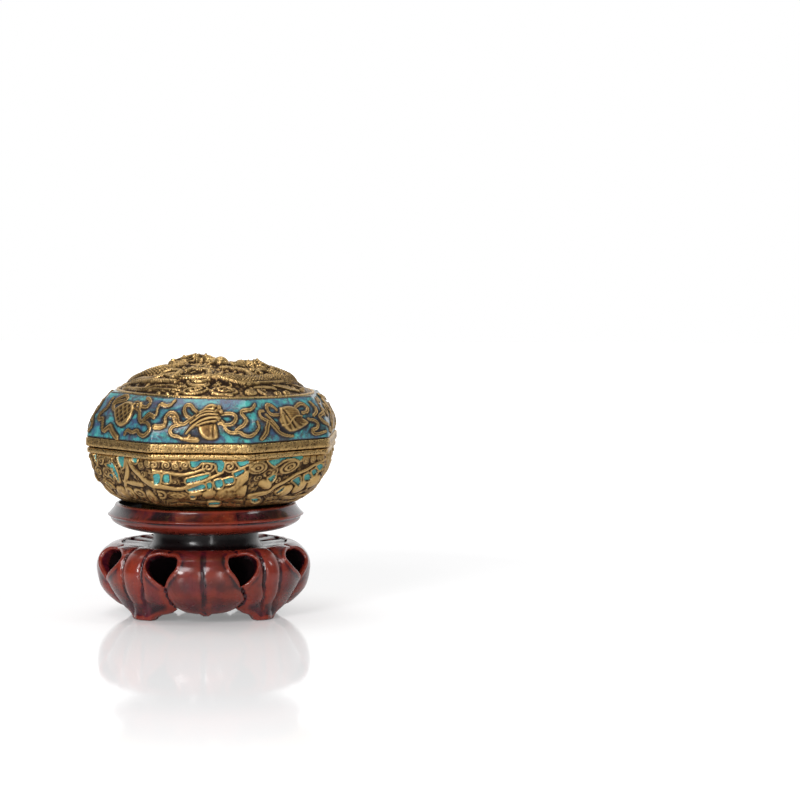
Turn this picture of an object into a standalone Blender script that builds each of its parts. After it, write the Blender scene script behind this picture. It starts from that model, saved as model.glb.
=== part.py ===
# Octagonal seal paste box of gilt bronze and enamel, closed, on its carved hardwood stand.
# Lengths are in metres and +Z is up. The box stands over the origin, with one face towards -Y.
import math

import bpy
import numpy as np

MM = 0.001

# Faces of the eight-sided box, and the length of the pattern on each
FACES = 8
HALF_FACE = math.pi / FACES
FACE_SPAN = 32.0 * MM

# Stand: its place under the box, and its heights from the floor up
STAND_SHIFT = -2.4 * MM
STAND_TURN = math.radians(7.0)
BODY_WIDEST_HEIGHT = 16.5 * MM
SHOULDER_HEIGHT = 24.5 * MM
NECK_DIP = 1.7 * MM
NECK_LENGTH = 5.8 * MM
DISH_DEPTH = 5.5 * MM
LIP_RISE = 3.9 * MM
RECESS_DEPTH = 2.3 * MM
NECK_FOOT_HEIGHT = SHOULDER_HEIGHT - NECK_DIP
DISH_FOOT_HEIGHT = NECK_FOOT_HEIGHT + NECK_LENGTH
DISH_EDGE_HEIGHT = DISH_FOOT_HEIGHT + DISH_DEPTH
LIP_HEIGHT = DISH_EDGE_HEIGHT + LIP_RISE

# Stand: dish and neck
DISH_RADIUS = 33.5 * MM
DISH_EDGE_DROP = 0.8 * MM
DISH_GROOVE_DEPTH = 0.5 * MM
LIP_RADIUS = 30.8 * MM
LIP_WIDTH = 1.4 * MM
LIP_ROUNDING = 0.3 * MM
DISH_FOOT_RADIUS = 18.8 * MM
NECK_RADIUS = 17.8 * MM
NECK_FOOT_RADIUS = 19.8 * MM

# Stand: the pierced body and its feet
SHOULDER_RADIUS = 28.5 * MM
BODY_RADIUS = 37.0 * MM
BODY_HEM_RADIUS = 24.7 * MM
BODY_WALL = 4.0 * MM
HOLLOW_HEIGHT = 10.0 * MM
LOBE_COUNT = 4
LOBE_HEM_HEIGHT = 3.1 * MM
LOBE_TIP_DROP = 1.7 * MM
LOBE_TIP_HALF_ANGLE = math.radians(3.0)
LOBE_HALF_ANGLE = math.radians(22.5)
NOTCH_HEIGHT = 4.4 * MM
LEG_RIB_HALF_ANGLE = math.radians(5.0)
CREASE_DEPTH = 2.0 * MM
CREASE_WIDTH = 5.0 * MM
FOOT_WIDTH = 7.2 * MM
FOOT_DEPTH = 4.6 * MM
FOOT_RADIUS = 31.5 * MM
FOOT_BLEND_HEIGHT = 5.5 * MM
FOOT_TRIM = 0.4 * MM
HOLE_WIDTH = 14.0 * MM
HOLE_HEIGHT = 11.4 * MM
HOLE_ANGLE = math.radians(25.7)
HOLE_INSET = 2.6 * MM
HOLE_CENTRE_HEIGHT = 18.4 * MM
HOLE_TILT = math.radians(28.0)
CUT_INWARD = 14.0 * MM
CUT_OUTWARD = 8.0 * MM

# Box, from its underside up. A radius of the eight-sided parts is measured to a corner.
PART_GAP = 0.3 * MM
UNDERSIDE_CLEARANCE = 0.4 * MM
BASE_BODY_RADIUS = 42.9 * MM
BASE_DEPTH = 18.15 * MM
BASE_RIM_STEP = 1.5 * MM
BASE_RIM_HEIGHT = 1.9 * MM
BASE_FLOOR_RADIUS = 26.0 * MM
BASE_WALL = 3.0 * MM
BASE_FLOOR_WALL = 2.6 * MM
FLANGE_WALL = 2.0 * MM
FLANGE_RISE = 2.6 * MM
FOOT_RING_INSET = 0.8 * MM
FOOT_RING_WIDTH = 3.2 * MM
BASE_UNDERSIDE_HEIGHT = LIP_HEIGHT + UNDERSIDE_CLEARANCE
BASE_RIM_FOOT_HEIGHT = BASE_UNDERSIDE_HEIGHT + BASE_DEPTH
BASE_RIM_RADIUS = BASE_BODY_RADIUS + BASE_RIM_STEP
FOOT_RING_RADIUS = BASE_FLOOR_RADIUS - FOOT_RING_INSET

# Lid, fitted to the box
LID_OVERHANG = 0.6 * MM
LID_RIM_HEIGHT = 2.75 * MM
LID_RIM_ROUNDING = 0.5 * MM
LID_RIM_WALL = 5.8 * MM
LID_BORE_DEPTH = 3.4 * MM
LID_WALL = 3.2 * MM
BAND_STEP = 0.5 * MM
BAND_TOP_RADIUS = 36.4 * MM
BAND_HEIGHT = 14.7 * MM
RING_SETBACK = 0.13 * MM
RING_WIDTH = 1.1 * MM
RING_RISE = 0.5 * MM
DOME_RISE = 8.6 * MM
DOME_WALL = 3.0 * MM
LID_SEAT_HEIGHT = BASE_RIM_FOOT_HEIGHT + BASE_RIM_HEIGHT + PART_GAP
RIM_RADIUS = BASE_RIM_RADIUS + LID_OVERHANG
LID_BORE_RADIUS = RIM_RADIUS - LID_RIM_WALL
BAND_FOOT_RADIUS = RIM_RADIUS - BAND_STEP
RING_RADIUS = BAND_TOP_RADIUS * math.cos(HALF_FACE) - RING_SETBACK

# Carving
EMBLEM_RELIEF = 0.9 * MM
LEAF_RELIEF = 1.05 * MM
LEAF_WIDTH = 2.3 * MM
RIBBON_RELIEF = 0.6 * MM
RIBBON_WIDTH = 1.5 * MM
CLOUD_RELIEF = 1.2 * MM
INNER_CLOUD_RELIEF = 1.1 * MM
BORDER_CLOUDS = 18
BORDER_CLOUD_WIDTH = 4.2 * MM
DRAGON_RELIEF = 2.2 * MM
DRAGON_WIDTH = 4.8 * MM
LEG_RELIEF = 1.8 * MM
LEG_WIDTH = 2.8 * MM
HEAD_RELIEF = 4.1 * MM
SNOUT_RELIEF = 3.3 * MM
HORN_WIDTH = 1.8 * MM
PEARL_RADIUS = 2.3 * MM
PEARL_RELIEF = 3.4 * MM
PEARL_PLACE = (3.2 * MM, -8.0 * MM)
CARVING_TURN = math.radians(6.0)
BASE_RELIEF = 1.0 * MM
BASE_BAND_RELIEF = 0.9 * MM
BASE_BAND_WIDTH = 2.6 * MM
BASE_CLOUD_RELIEF = 0.8 * MM
BASE_RELIEF_START = 1.6 * MM

# How finely the carving is worked before its flat parts are thinned out
COLUMNS = 336
LID_TRIANGLES = 4900
BASE_TRIANGLES = 2400
STAND_TRIANGLES = 2600
SHARP_ANGLE = math.radians(40.0)
POLE_SHARE = 0.02

GILT = (0.402, 0.223, 0.061, 1.0)
GILT_BASE = (0.36, 0.21, 0.066, 1.0)
HARDWOOD = (0.155, 0.017, 0.013, 1.0)


def clear_scene():
    for item in list(bpy.data.objects):
        bpy.data.objects.remove(item, do_unlink=True)


def make_material(name, colour, roughness, metallic):
    material = bpy.data.materials.new(name)
    material.use_nodes = True
    shader = material.node_tree.nodes["Principled BSDF"]
    shader.inputs["Base Color"].default_value = colour
    shader.inputs["Roughness"].default_value = roughness
    shader.inputs["Metallic"].default_value = metallic
    return material


# Curves and ridges on a flat pattern

def smooth_path(points, steps=8):
    """Points of a smooth curve through the given ones."""
    knots = np.array([points[0], *points, points[-1]], float)
    pieces = []
    for index in range(1, len(knots) - 2):
        before, start, end, after = knots[index - 1:index + 3]
        t = np.linspace(0.0, 1.0, steps, endpoint=False)[:, None]
        bend = (2 * before - 5 * start + 4 * end - after) * t**2
        twist = (3 * start - before - 3 * end + after) * t**3
        pieces.append(0.5 * (2 * start + (end - before) * t + bend + twist))
    pieces.append(knots[-1:])
    return np.concatenate(pieces)


def nearest(x, y, path):
    """For each point its distance from the path and how far along the path that is, from 0 to 1."""
    start, step = path[:-1], np.diff(path, axis=0)
    length = np.hypot(step[:, 0], step[:, 1]) + 1e-12
    along_x = x[:, None] - start[None, :, 0]
    along_y = y[:, None] - start[None, :, 1]
    share = (along_x * step[:, 0] + along_y * step[:, 1]) / length**2
    share = np.clip(share, 0.0, 1.0)
    away = np.hypot(along_x - share * step[:, 0], along_y - share * step[:, 1])
    best = np.argmin(away, axis=1)
    rows = np.arange(len(x))
    done = np.concatenate([[0.0], np.cumsum(length)])
    fraction = (done[best] + share[rows, best] * length[best]) / done[-1]
    return away[rows, best], fraction


def raise_along(height, x, y, path, half_width, rise, taper=(1.0, 1.0)):
    """Lifts height to a rounded ridge along the path. The taper gives its width at both ends."""
    low, high = path.min(axis=0) - half_width, path.max(axis=0) + half_width
    near = (x > low[0]) & (x < high[0]) & (y > low[1]) & (y < high[1])
    if not near.any():
        return
    away, fraction = nearest(x[near], y[near], path)
    width = half_width * (taper[0] + (taper[1] - taper[0]) * fraction)
    ridge = rise * np.sqrt(np.clip(1.0 - (away / width) ** 2, 0.0, 1.0))
    ridge *= np.minimum(1.0, 0.45 + 0.55 * width / half_width)
    height[near] = np.maximum(height[near], ridge)


def raise_oval(height, x, y, centre, half_length, half_width, turn, rise, hollow=0.0):
    """Lifts height to an oval boss, dished in the middle by the share called hollow."""
    cos, sin = math.cos(turn), math.sin(turn)
    along = ((x - centre[0]) * cos + (y - centre[1]) * sin) / half_length
    across = ((y - centre[1]) * cos - (x - centre[0]) * sin) / half_width
    away = np.hypot(along, across)
    boss = rise * np.sqrt(np.clip(1.0 - away**2, 0.0, 1.0)) ** 0.7
    boss *= 1.0 - hollow * np.exp(-(away / 0.35) ** 2)
    np.maximum(height, boss, out=height)


# The band's eight emblems and their ribbons. Points are (along the face, above its foot) in mm.

FAN_LEAVES = (
    ((4.9, 9.8), (0.5, 8.2), (-5.3, 4.2)),
    ((4.9, 10.0), (0.2, 9.6), (-3.8, 7.0)),
    ((4.9, 10.2), (1.2, 11.2), (-1.8, 9.8)),
    ((5.2, 10.4), (3.2, 12.4), (0.8, 12.3)),
)
FRONT_RIBBONS = (
    ((-15.2, 5.9), (-13.4, 6.5), (-12.3, 9.1), (-10.2, 10.4), (-8.6, 8.2), (-7.6, 6.5), (-5.0, 7.8)),
    ((-5.0, 7.8), (0.0, 10.0)),
    ((-4.6, 8.4), (-6.3, 10.6), (-5.6, 12.6), (-3.6, 12.0), (-1.8, 9.6)),
    ((-5.3, 7.6), (-7.4, 5.9), (-10.9, 5.9), (-11.2, 3.6), (-8.5, 2.7), (-6.3, 1.5), (-2.6, 1.3)),
    ((5.8, 9.9), (9.5, 9.8), (11.2, 8.1), (10.2, 6.3), (7.2, 7.3)),
    ((6.8, 8.0), (8.6, 4.6), (11.2, 3.9), (13.9, 5.2), (15.0, 7.4), (13.2, 9.4), (12.8, 10.9), (15, 12.6)),
    ((11.0, 3.8), (14.0, 2.3), (17.4, 2.6), (18.6, 5.4)),
)
SIDE_RIBBONS = (
    ((-14.6, 3.2), (-12.0, 4.4), (-11.6, 7.2), (-8.8, 8.6), (-6.4, 10.6), (-3.0, 10.2)),
    ((-12.6, 12.4), (-10.6, 11.0), (-9.4, 12.8), (-6.2, 12.8), (-3.4, 11.6)),
    ((-7.4, 2.0), (-4.8, 1.6), (-3.4, 3.6), (-0.8, 2.4), (2.2, 1.6), (4.8, 2.6)),
    ((6.0, 10.4), (8.4, 12.4), (11.0, 11.4), (12.2, 9.0), (15.0, 9.4), (17.0, 11.6)),
    ((7.0, 5.2), (9.4, 3.4), (11.4, 5.2), (13.6, 6.0), (14.6, 3.6), (12.4, 1.6), (9.4, 1.4)),
)


def emblem_fan(height, along, up):
    raise_oval(height, along, up, (2.0 * MM, 4.7 * MM), 3.9 * MM, 3.6 * MM, 0.0, EMBLEM_RELIEF)
    for leaf in FAN_LEAVES:
        path = smooth_path(np.array(leaf) * MM)
        raise_along(height, along, up, path, LEAF_WIDTH / 2, LEAF_RELIEF, (1.0, 0.35))


def emblem_shell(height, along, up):
    raise_oval(height, along, up, (3.4 * MM, 6.8 * MM), 6.2 * MM, 4.1 * MM, -0.35, EMBLEM_RELIEF)


def emblem_drum(height, along, up):
    raise_oval(height, along, up, (-2.6 * MM, 8.0 * MM), 5.2 * MM, 4.3 * MM, -0.5, EMBLEM_RELIEF, 0.3)


def emblem_gourd(height, along, up):
    raise_oval(height, along, up, (-0.5 * MM, 5.0 * MM), 4.2 * MM, 3.5 * MM, 0.3, EMBLEM_RELIEF)
    raise_oval(height, along, up, (1.0 * MM, 10.2 * MM), 2.7 * MM, 2.3 * MM, 0.3, EMBLEM_RELIEF)


EMBLEMS = (emblem_fan, emblem_shell, emblem_gourd, emblem_drum)


def emblem_of(face):
    """The front face has the fan, its right neighbour the shell and its left neighbour the drum."""
    return EMBLEMS[face % len(EMBLEMS)]


def ribbons_of(face):
    if face % len(EMBLEMS) == 0:
        return FRONT_RIBBONS
    return SIDE_RIBBONS


def band_relief(along, up):
    """Height of the carving on the band. Along runs round all eight faces, from the front face's middle."""
    height = np.zeros_like(along)
    around = FACES * FACE_SPAN
    for face in range(FACES):
        offset = np.mod(along - face * FACE_SPAN + around / 2, around) - around / 2
        here = np.abs(offset) < 0.62 * FACE_SPAN
        part, x, y = height[here], offset[here], up[here]
        for ribbon in ribbons_of(face):
            path = smooth_path(np.array(ribbon) * MM, 5)
            raise_along(part, x, y, path, RIBBON_WIDTH / 2, RIBBON_RELIEF)
        emblem_of(face)(part, x, y)
        height[here] = part
    return height


# The dome: two dragons, each turned half round from the other, a pearl between them, and clouds

DRAGON_SPINE = (
    (-21.5, -13.5), (-15.0, -20.8), (-5.0, -24.0), (6.0, -24.2), (15.6, -20.6), (22.0, -13.0),
    (23.6, -3.0), (19.6, 5.0), (11.0, 7.5), (4.0, 4.5), (3.5, -2.5), (8.5, -4.0),
)
DRAGON_LEGS = (
    ((1.0, -23.0), (0.0, -16.5), (-5.5, -14.5)),
    ((13.0, -21.0), (11.0, -15.0), (5.5, -14.0)),
    ((22.5, -9.0), (16.0, -8.0), (14.0, -11.5)),
    ((-13.0, -21.5), (-11.0, -16.0), (-14.5, -12.0)),
)
FRONT_HEAD = (14.5, -2.5)
BACK_HEAD = (6.3, -3.0)


def dragon_relief(height, x, y, head):
    spine = smooth_path(np.array(DRAGON_SPINE) * MM)
    raise_along(height, x, y, spine, DRAGON_WIDTH / 2, DRAGON_RELIEF, (0.45, 1.0))
    for leg in DRAGON_LEGS:
        path = smooth_path(np.array(leg) * MM)
        raise_along(height, x, y, path, LEG_WIDTH / 2, LEG_RELIEF, (1.0, 0.5))
    skull = np.array(head) * MM
    raise_oval(height, x, y, skull + (-1.5 * MM, 0.0), 5.2 * MM, 3.6 * MM, 0.1, HEAD_RELIEF)
    raise_oval(height, x, y, skull + (4.2 * MM, -0.4 * MM), 4.4 * MM, 2.3 * MM, -0.1, SNOUT_RELIEF)
    for side in (-1, 1):
        horn = [(-1.5, 1.6 * side), (-5.5, 2.8 * side), (-8.5, 2.2 * side)]
        path = smooth_path(skull + np.array(horn) * MM)
        raise_along(height, x, y, path, HORN_WIDTH / 2, HEAD_RELIEF, (1.0, 0.6))


def dome_relief(x, y):
    """Height of the carving on the dome, by place as seen from above."""
    height = np.zeros_like(x)
    for index in range(BORDER_CLOUDS):
        angle = 2 * math.pi * (index + 0.5) / BORDER_CLOUDS
        reach = 0.885 * RING_RADIUS
        centre = (reach * math.cos(angle), reach * math.sin(angle))
        length = 0.42 * 2 * math.pi * reach / BORDER_CLOUDS
        width = BORDER_CLOUD_WIDTH / 2
        raise_oval(height, x, y, centre, length, width, angle + math.pi / 2, CLOUD_RELIEF, 0.5)
    for ring, count in ((0.62, 11), (0.36, 7)):
        for index in range(count):
            angle = 2 * math.pi * (index + 0.25) / count
            centre = (ring * RING_RADIUS * math.cos(angle), ring * RING_RADIUS * math.sin(angle))
            raise_oval(height, x, y, centre, 3.2 * MM, 2.3 * MM, angle + 1.0, INNER_CLOUD_RELIEF, 0.5)
    dragon_relief(height, x, y, FRONT_HEAD)
    dragon_relief(height, -x, -y, BACK_HEAD)
    raise_oval(height, x, y, PEARL_PLACE, PEARL_RADIUS, PEARL_RADIUS, 0.0, PEARL_RELIEF)
    return height


# The box's sides: a long finned body that climbs across each face, clouds under the rim, waves below

BASE_BANDS = (
    ((-15.5, 9.4), (-9.0, 7.4), (-2.0, 8.2), (6.0, 11.2), (15.5, 15.4)),
    ((-13.0, 4.6), (-6.0, 5.0), (2.0, 6.6), (9.0, 9.4), (15.0, 10.6)),
    ((-12.0, 12.6), (-7.0, 13.2), (-1.0, 11.6), (2.0, 9.4)),
)


def base_relief(along, up):
    """Height of the carving on the box's sides. Up is measured from its underside."""
    height = np.zeros_like(along)
    around = FACES * FACE_SPAN
    for face in range(FACES):
        offset = np.mod(along - face * FACE_SPAN + around / 2, around) - around / 2
        here = np.abs(offset) < 0.62 * FACE_SPAN
        part, x, y = height[here], offset[here], up[here]
        for band in BASE_BANDS:
            path = smooth_path(np.array(band) * MM, 5)
            raise_along(part, x, y, path, BASE_BAND_WIDTH / 2, BASE_BAND_RELIEF)
        for place in (-6.4, 0.6, 7.6):
            raise_oval(part, x, y, (place * MM, 15.6 * MM), 2.8 * MM, 2.1 * MM, 0.0, BASE_CLOUD_RELIEF, 0.5)
        for place in (-12.0, -4.0, 4.0, 12.0):
            raise_oval(part, x, y, (place * MM, 3.2 * MM), 3.9 * MM, 2.6 * MM, 0.2, BASE_RELIEF)
        height[here] = part
    return height


# Eight-sided and round rings of points, stacked into closed shells

def octagon_share(angle):
    """Radius of an octagon of corner radius 1, with a face towards each eighth of a turn."""
    local = np.mod(angle + HALF_FACE, 2 * HALF_FACE) - HALF_FACE
    return math.cos(HALF_FACE) / np.cos(local)


def column_angles():
    return -math.pi / 2 + 2 * math.pi * np.arange(COLUMNS) / COLUMNS


def rings(radius, height, roundness):
    """Rows of points, one for each entry. Roundness 0 is eight-sided and 1 is a circle."""
    angle = column_angles()[None, :]
    radius, height, roundness = (np.asarray(v, float)[:, None] for v in (radius, height, roundness))
    reach = radius * ((1.0 - roundness) * octagon_share(angle) + roundness)
    return np.stack([reach * np.cos(angle), reach * np.sin(angle), height + 0.0 * angle], axis=-1)


def face_coordinates(points):
    """How far round the faces each point is, from the middle of the front face."""
    angle = column_angles()
    turn = (angle - angle[0]) / (2 * HALF_FACE)
    face = np.round(turn)
    local = (turn - face) * 2 * HALF_FACE
    share = np.tan(local) / math.tan(HALF_FACE)
    return np.broadcast_to((face + 0.5 * share) * FACE_SPAN, points.shape[:2])


def outward_normals(points):
    """Unit normals of a grid of rings that run upward."""
    round_step = np.roll(points, -1, axis=1) - np.roll(points, 1, axis=1)
    up_step = np.gradient(points, axis=0)
    normal = np.cross(round_step, up_step)
    return normal / (np.linalg.norm(normal, axis=-1, keepdims=True) + 1e-12)


def closed_mesh(name, points, first_pole, last_pole):
    """One closed body from rings of points, with a point on the axis before and after them."""
    rows, columns = points.shape[:2]
    index = np.arange(rows * columns).reshape(rows, columns)
    beside = np.roll(index, -1, axis=1)
    quads = np.stack([index[:-1], beside[:-1], beside[1:], index[1:]], axis=-1).reshape(-1, 4)
    first, last = rows * columns, rows * columns + 1
    faces = quads.tolist()
    faces += [(first, b, a) for a, b in zip(index[0].tolist(), beside[0].tolist())]
    faces += [(last, a, b) for a, b in zip(index[-1].tolist(), beside[-1].tolist())]
    vertices = points.reshape(-1, 3).tolist() + [first_pole, last_pole]
    mesh = bpy.data.meshes.new(name)
    mesh.from_pydata(vertices, [], faces)
    mesh.update()
    return mesh


def finish_object(name, mesh, material, triangles):
    """Thins the body out to about so many triangles."""
    mesh.materials.append(material)
    item = bpy.data.objects.new(name, mesh)
    bpy.context.scene.collection.objects.link(item)
    whole = sum(len(face.vertices) - 2 for face in mesh.polygons)
    thin = item.modifiers.new("Thin out", "DECIMATE")
    thin.ratio = min(1.0, triangles / whole)
    thin.use_collapse_triangulate = True
    mesh.shade_smooth()
    mesh.set_sharp_from_angle(angle=SHARP_ANGLE)
    return item


# Lid

def band_radius(share):
    """Corner radius of the band, from its foot at 0 to its top at 1."""
    return BAND_FOOT_RADIUS + (BAND_TOP_RADIUS - BAND_FOOT_RADIUS) * share**2


def dome_height(share):
    """How high the dome stands above its ring, by share of the ring's radius."""
    return DOME_RISE * (1.0 - share**3)


def make_lid(material):
    rim_top = LID_SEAT_HEIGHT + LID_RIM_HEIGHT
    band_top = rim_top + BAND_HEIGHT
    inner_top = band_top - DOME_WALL

    share = np.linspace(0.0, 1.0, 22)
    up = share * BAND_HEIGHT
    band = rings(band_radius(share), rim_top + up, np.zeros(len(share)))
    carved = band_relief(face_coordinates(band).ravel(), np.repeat(up, COLUMNS)).reshape(band.shape[:2])
    carved[[0, -1]] = 0.0
    band = band + outward_normals(band) * carved[..., None]

    share = np.linspace(1.0, POLE_SHARE, 44)
    dome_radius = RING_RADIUS - RING_WIDTH
    dome = rings(share * dome_radius, band_top + dome_height(share), np.ones(len(share)))
    cos, sin = math.cos(CARVING_TURN), math.sin(CARVING_TURN)
    flat_x, flat_y = dome[..., 0].ravel(), dome[..., 1].ravel()
    carved = dome_relief(flat_x * cos + flat_y * sin, flat_y * cos - flat_x * sin).reshape(dome.shape[:2])
    carved[0] = 0.0
    dome = dome + outward_normals(dome) * carved[..., None]

    rounding = LID_RIM_ROUNDING
    rim = rings(
        [RIM_RADIUS - rounding, RIM_RADIUS, RIM_RADIUS, RIM_RADIUS - rounding],
        [LID_SEAT_HEIGHT, LID_SEAT_HEIGHT + rounding, rim_top - rounding, rim_top],
        [0, 0, 0, 0],
    )
    ring_middle = RING_RADIUS - RING_WIDTH / 2
    ring = rings([RING_RADIUS, ring_middle], [band_top, band_top + RING_RISE], [1, 1])

    share = np.linspace(POLE_SHARE, 1.0, 8)
    inner_dome_radius = RING_RADIUS - RING_WIDTH - DOME_WALL
    ceiling = rings(share * inner_dome_radius, inner_top + dome_height(share), np.ones(len(share)))
    share = np.linspace(1.0, 0.0, 7)
    bore_top = LID_SEAT_HEIGHT + LID_BORE_DEPTH
    wall_height = bore_top + share * (inner_top - bore_top)
    wall_share = np.clip((wall_height - rim_top) / BAND_HEIGHT, 0.0, 1.0)
    wall_radius = np.minimum(LID_BORE_RADIUS, band_radius(wall_share) - LID_WALL)
    wall = rings(wall_radius, wall_height, np.zeros(len(share)))
    seat = rings([LID_BORE_RADIUS], [LID_SEAT_HEIGHT], [0])

    rows = np.concatenate([ceiling, wall, seat, rim, band, ring, dome])
    ceiling_pole = [0.0, 0.0, inner_top + DOME_RISE]
    dome_pole = [0.0, 0.0, float(dome[-1, :, 2].mean())]
    mesh = closed_mesh("lid", rows, ceiling_pole, dome_pole)
    return finish_object("lid", mesh, material, LID_TRIANGLES)


# Box

def base_radius(share, waist, foot):
    """Corner radius of the box's side, from its rim at 0 to its underside at 1."""
    return foot + (waist - foot) * (1.0 - share**2) ** (1 / 1.7)


def make_base(material):
    rim_foot = BASE_RIM_FOOT_HEIGHT
    rim_top = rim_foot + BASE_RIM_HEIGHT
    flange_radius = LID_BORE_RADIUS - PART_GAP
    inner_radius = flange_radius - FLANGE_WALL
    foot_bottom = LIP_HEIGHT - RECESS_DEPTH + PART_GAP

    share = np.sin(np.linspace(math.pi / 2, 0.0, 26))
    up = (1.0 - share) * BASE_DEPTH
    side = rings(
        base_radius(share, BASE_BODY_RADIUS, BASE_FLOOR_RADIUS),
        BASE_UNDERSIDE_HEIGHT + up,
        np.zeros(len(share)),
    )
    carved = base_relief(face_coordinates(side).ravel(), np.repeat(up, COLUMNS)).reshape(side.shape[:2])
    carved *= np.clip(up / BASE_RELIEF_START, 0.0, 1.0)[:, None]
    carved[-1] = 0.0
    side = side + outward_normals(side) * carved[..., None]

    ring_inner = FOOT_RING_RADIUS - FOOT_RING_WIDTH
    underside = rings(
        [POLE_SHARE * ring_inner, ring_inner, ring_inner, FOOT_RING_RADIUS, FOOT_RING_RADIUS],
        [BASE_UNDERSIDE_HEIGHT, BASE_UNDERSIDE_HEIGHT, foot_bottom, foot_bottom, BASE_UNDERSIDE_HEIGHT],
        [0, 0, 0, 0, 0],
    )
    rim = rings(
        [BASE_RIM_RADIUS, BASE_RIM_RADIUS, flange_radius, flange_radius, inner_radius],
        [rim_foot, rim_top, rim_top, rim_top + FLANGE_RISE, rim_top + FLANGE_RISE],
        [0, 0, 0, 0, 0],
    )
    share = np.sin(np.linspace(0.0, math.pi / 2, 8))
    floor = BASE_UNDERSIDE_HEIGHT + BASE_FLOOR_WALL
    bowl_radius = base_radius(share, BASE_BODY_RADIUS - BASE_WALL, BASE_FLOOR_RADIUS - BASE_WALL)
    bowl = rings(
        np.minimum(inner_radius, bowl_radius),
        rim_foot - share * (rim_foot - floor),
        np.zeros(len(share)),
    )
    centre = rings([POLE_SHARE * ring_inner], [floor], [0])
    rows = np.concatenate([underside, side, rim, bowl, centre])
    mesh = closed_mesh("box_base", rows, [0.0, 0.0, BASE_UNDERSIDE_HEIGHT], [0.0, 0.0, floor])
    return finish_object("box_base", mesh, material, BASE_TRIANGLES)


# Stand

def stand_angle(angle):
    """Angle from the nearest lobe's middle, without its sign."""
    quarter = 2 * math.pi / LOBE_COUNT
    local = np.mod(angle + math.pi / 2 + quarter / 2, quarter) - quarter / 2
    return np.abs(local)


def crease_depth(local):
    """How deep the creases between the lobes and ribs are cut, by angle from a lobe's middle."""
    leg_middle = math.pi / LOBE_COUNT
    creases = (
        (0.0, 0.3, 1.0),
        (LOBE_HALF_ANGLE, 1.0, 1.2),
        (leg_middle - LEG_RIB_HALF_ANGLE, 0.6, 0.9),
    )
    depth = np.zeros_like(local)
    for place, deep, wide in creases:
        near = np.clip(1.0 - np.abs(local - place) * BODY_RADIUS / (wide * CREASE_WIDTH), 0.0, 1.0)
        depth += deep * CREASE_DEPTH * (1.0 - np.sqrt(1.0 - near**2))
    return depth


def hem_height(local):
    """Height of the body's lower edge: lobes with a small tip, and legs a little longer than they end up."""
    leg_middle = math.pi / LOBE_COUNT
    foot_half = 0.5 * FOOT_WIDTH / FOOT_RADIUS
    lobe = LOBE_HEM_HEIGHT + (NOTCH_HEIGHT - LOBE_HEM_HEIGHT) * (local / LOBE_HALF_ANGLE) ** 4
    lobe = lobe - LOBE_TIP_DROP * np.exp(-((local / LOBE_TIP_HALF_ANGLE) ** 2))
    away = np.clip((leg_middle - local - foot_half) / (leg_middle - foot_half - LOBE_HALF_ANGLE), 0.0, 1.0)
    leg = (NOTCH_HEIGHT + FOOT_TRIM) * away**0.8 - FOOT_TRIM
    return np.where(local < LOBE_HALF_ANGLE, lobe, leg)


def body_radius(height):
    """Outer radius of the body by height, from the shoulder down to the hem."""
    above = np.clip((height - BODY_WIDEST_HEIGHT) / (SHOULDER_HEIGHT - BODY_WIDEST_HEIGHT), 0.0, 1.0)
    below = np.clip((BODY_WIDEST_HEIGHT - height) / BODY_WIDEST_HEIGHT, 0.0, 1.0)
    upper = SHOULDER_RADIUS + (BODY_RADIUS - SHOULDER_RADIUS) * np.sqrt(np.clip(1.0 - above**2, 0.0, 1.0))
    lower = BODY_RADIUS - (BODY_RADIUS - BODY_HEM_RADIUS) * below**2
    return np.where(height > BODY_WIDEST_HEIGHT, upper, lower)


def turned_profile():
    """Radii and heights of the dish and neck, from the recess's middle out and down to the neck's foot."""
    recess_floor = LIP_HEIGHT - RECESS_DEPTH
    recess_radius = LIP_RADIUS - LIP_WIDTH
    radius = [POLE_SHARE * recess_radius, recess_radius - LIP_ROUNDING, recess_radius]
    radius += [LIP_RADIUS - LIP_ROUNDING, LIP_RADIUS]
    height = [recess_floor, recess_floor, LIP_HEIGHT]
    height += [LIP_HEIGHT, LIP_HEIGHT - LIP_ROUNDING]
    for share in np.linspace(0.25, 1.0, 5):
        radius.append(LIP_RADIUS + (DISH_RADIUS - LIP_RADIUS) * share**1.6)
        height.append(LIP_HEIGHT - LIP_RISE * share)
    drop = DISH_EDGE_DROP
    moulding_radius = DISH_RADIUS - 1.2 * drop
    moulding_height = DISH_EDGE_HEIGHT - 2.0 * drop
    radius += [DISH_RADIUS - drop, moulding_radius - DISH_GROOVE_DEPTH]
    height += [DISH_EDGE_HEIGHT - drop, DISH_EDGE_HEIGHT - 1.3 * drop]
    for turn in np.linspace(0.0, math.pi / 2, 8):
        radius.append(DISH_FOOT_RADIUS + (moulding_radius - DISH_FOOT_RADIUS) * math.cos(turn))
        height.append(DISH_FOOT_HEIGHT + (moulding_height - DISH_FOOT_HEIGHT) * (1.0 - math.sin(turn)))
    for share in np.linspace(0.2, 1.0, 5):
        radius.append(NECK_RADIUS + (NECK_FOOT_RADIUS - NECK_RADIUS) * (2 * share - 1) ** 2)
        height.append(DISH_FOOT_HEIGHT - NECK_LENGTH * share)
    return radius, height


def carried_out(reach, height, on_leg, foot_radius):
    """Carries the legs out to their feet over the last few millimetres."""
    blend = np.clip(1.0 - height / FOOT_BLEND_HEIGHT, 0.0, 1.0) * on_leg
    return reach + (np.maximum(reach, foot_radius) - reach) * blend


def free_row(angle, reach, height):
    """One row of points whose reach and height change round the stand."""
    return np.stack([reach * np.cos(angle), reach * np.sin(angle), height + 0.0 * angle], axis=-1)[None]


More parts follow.
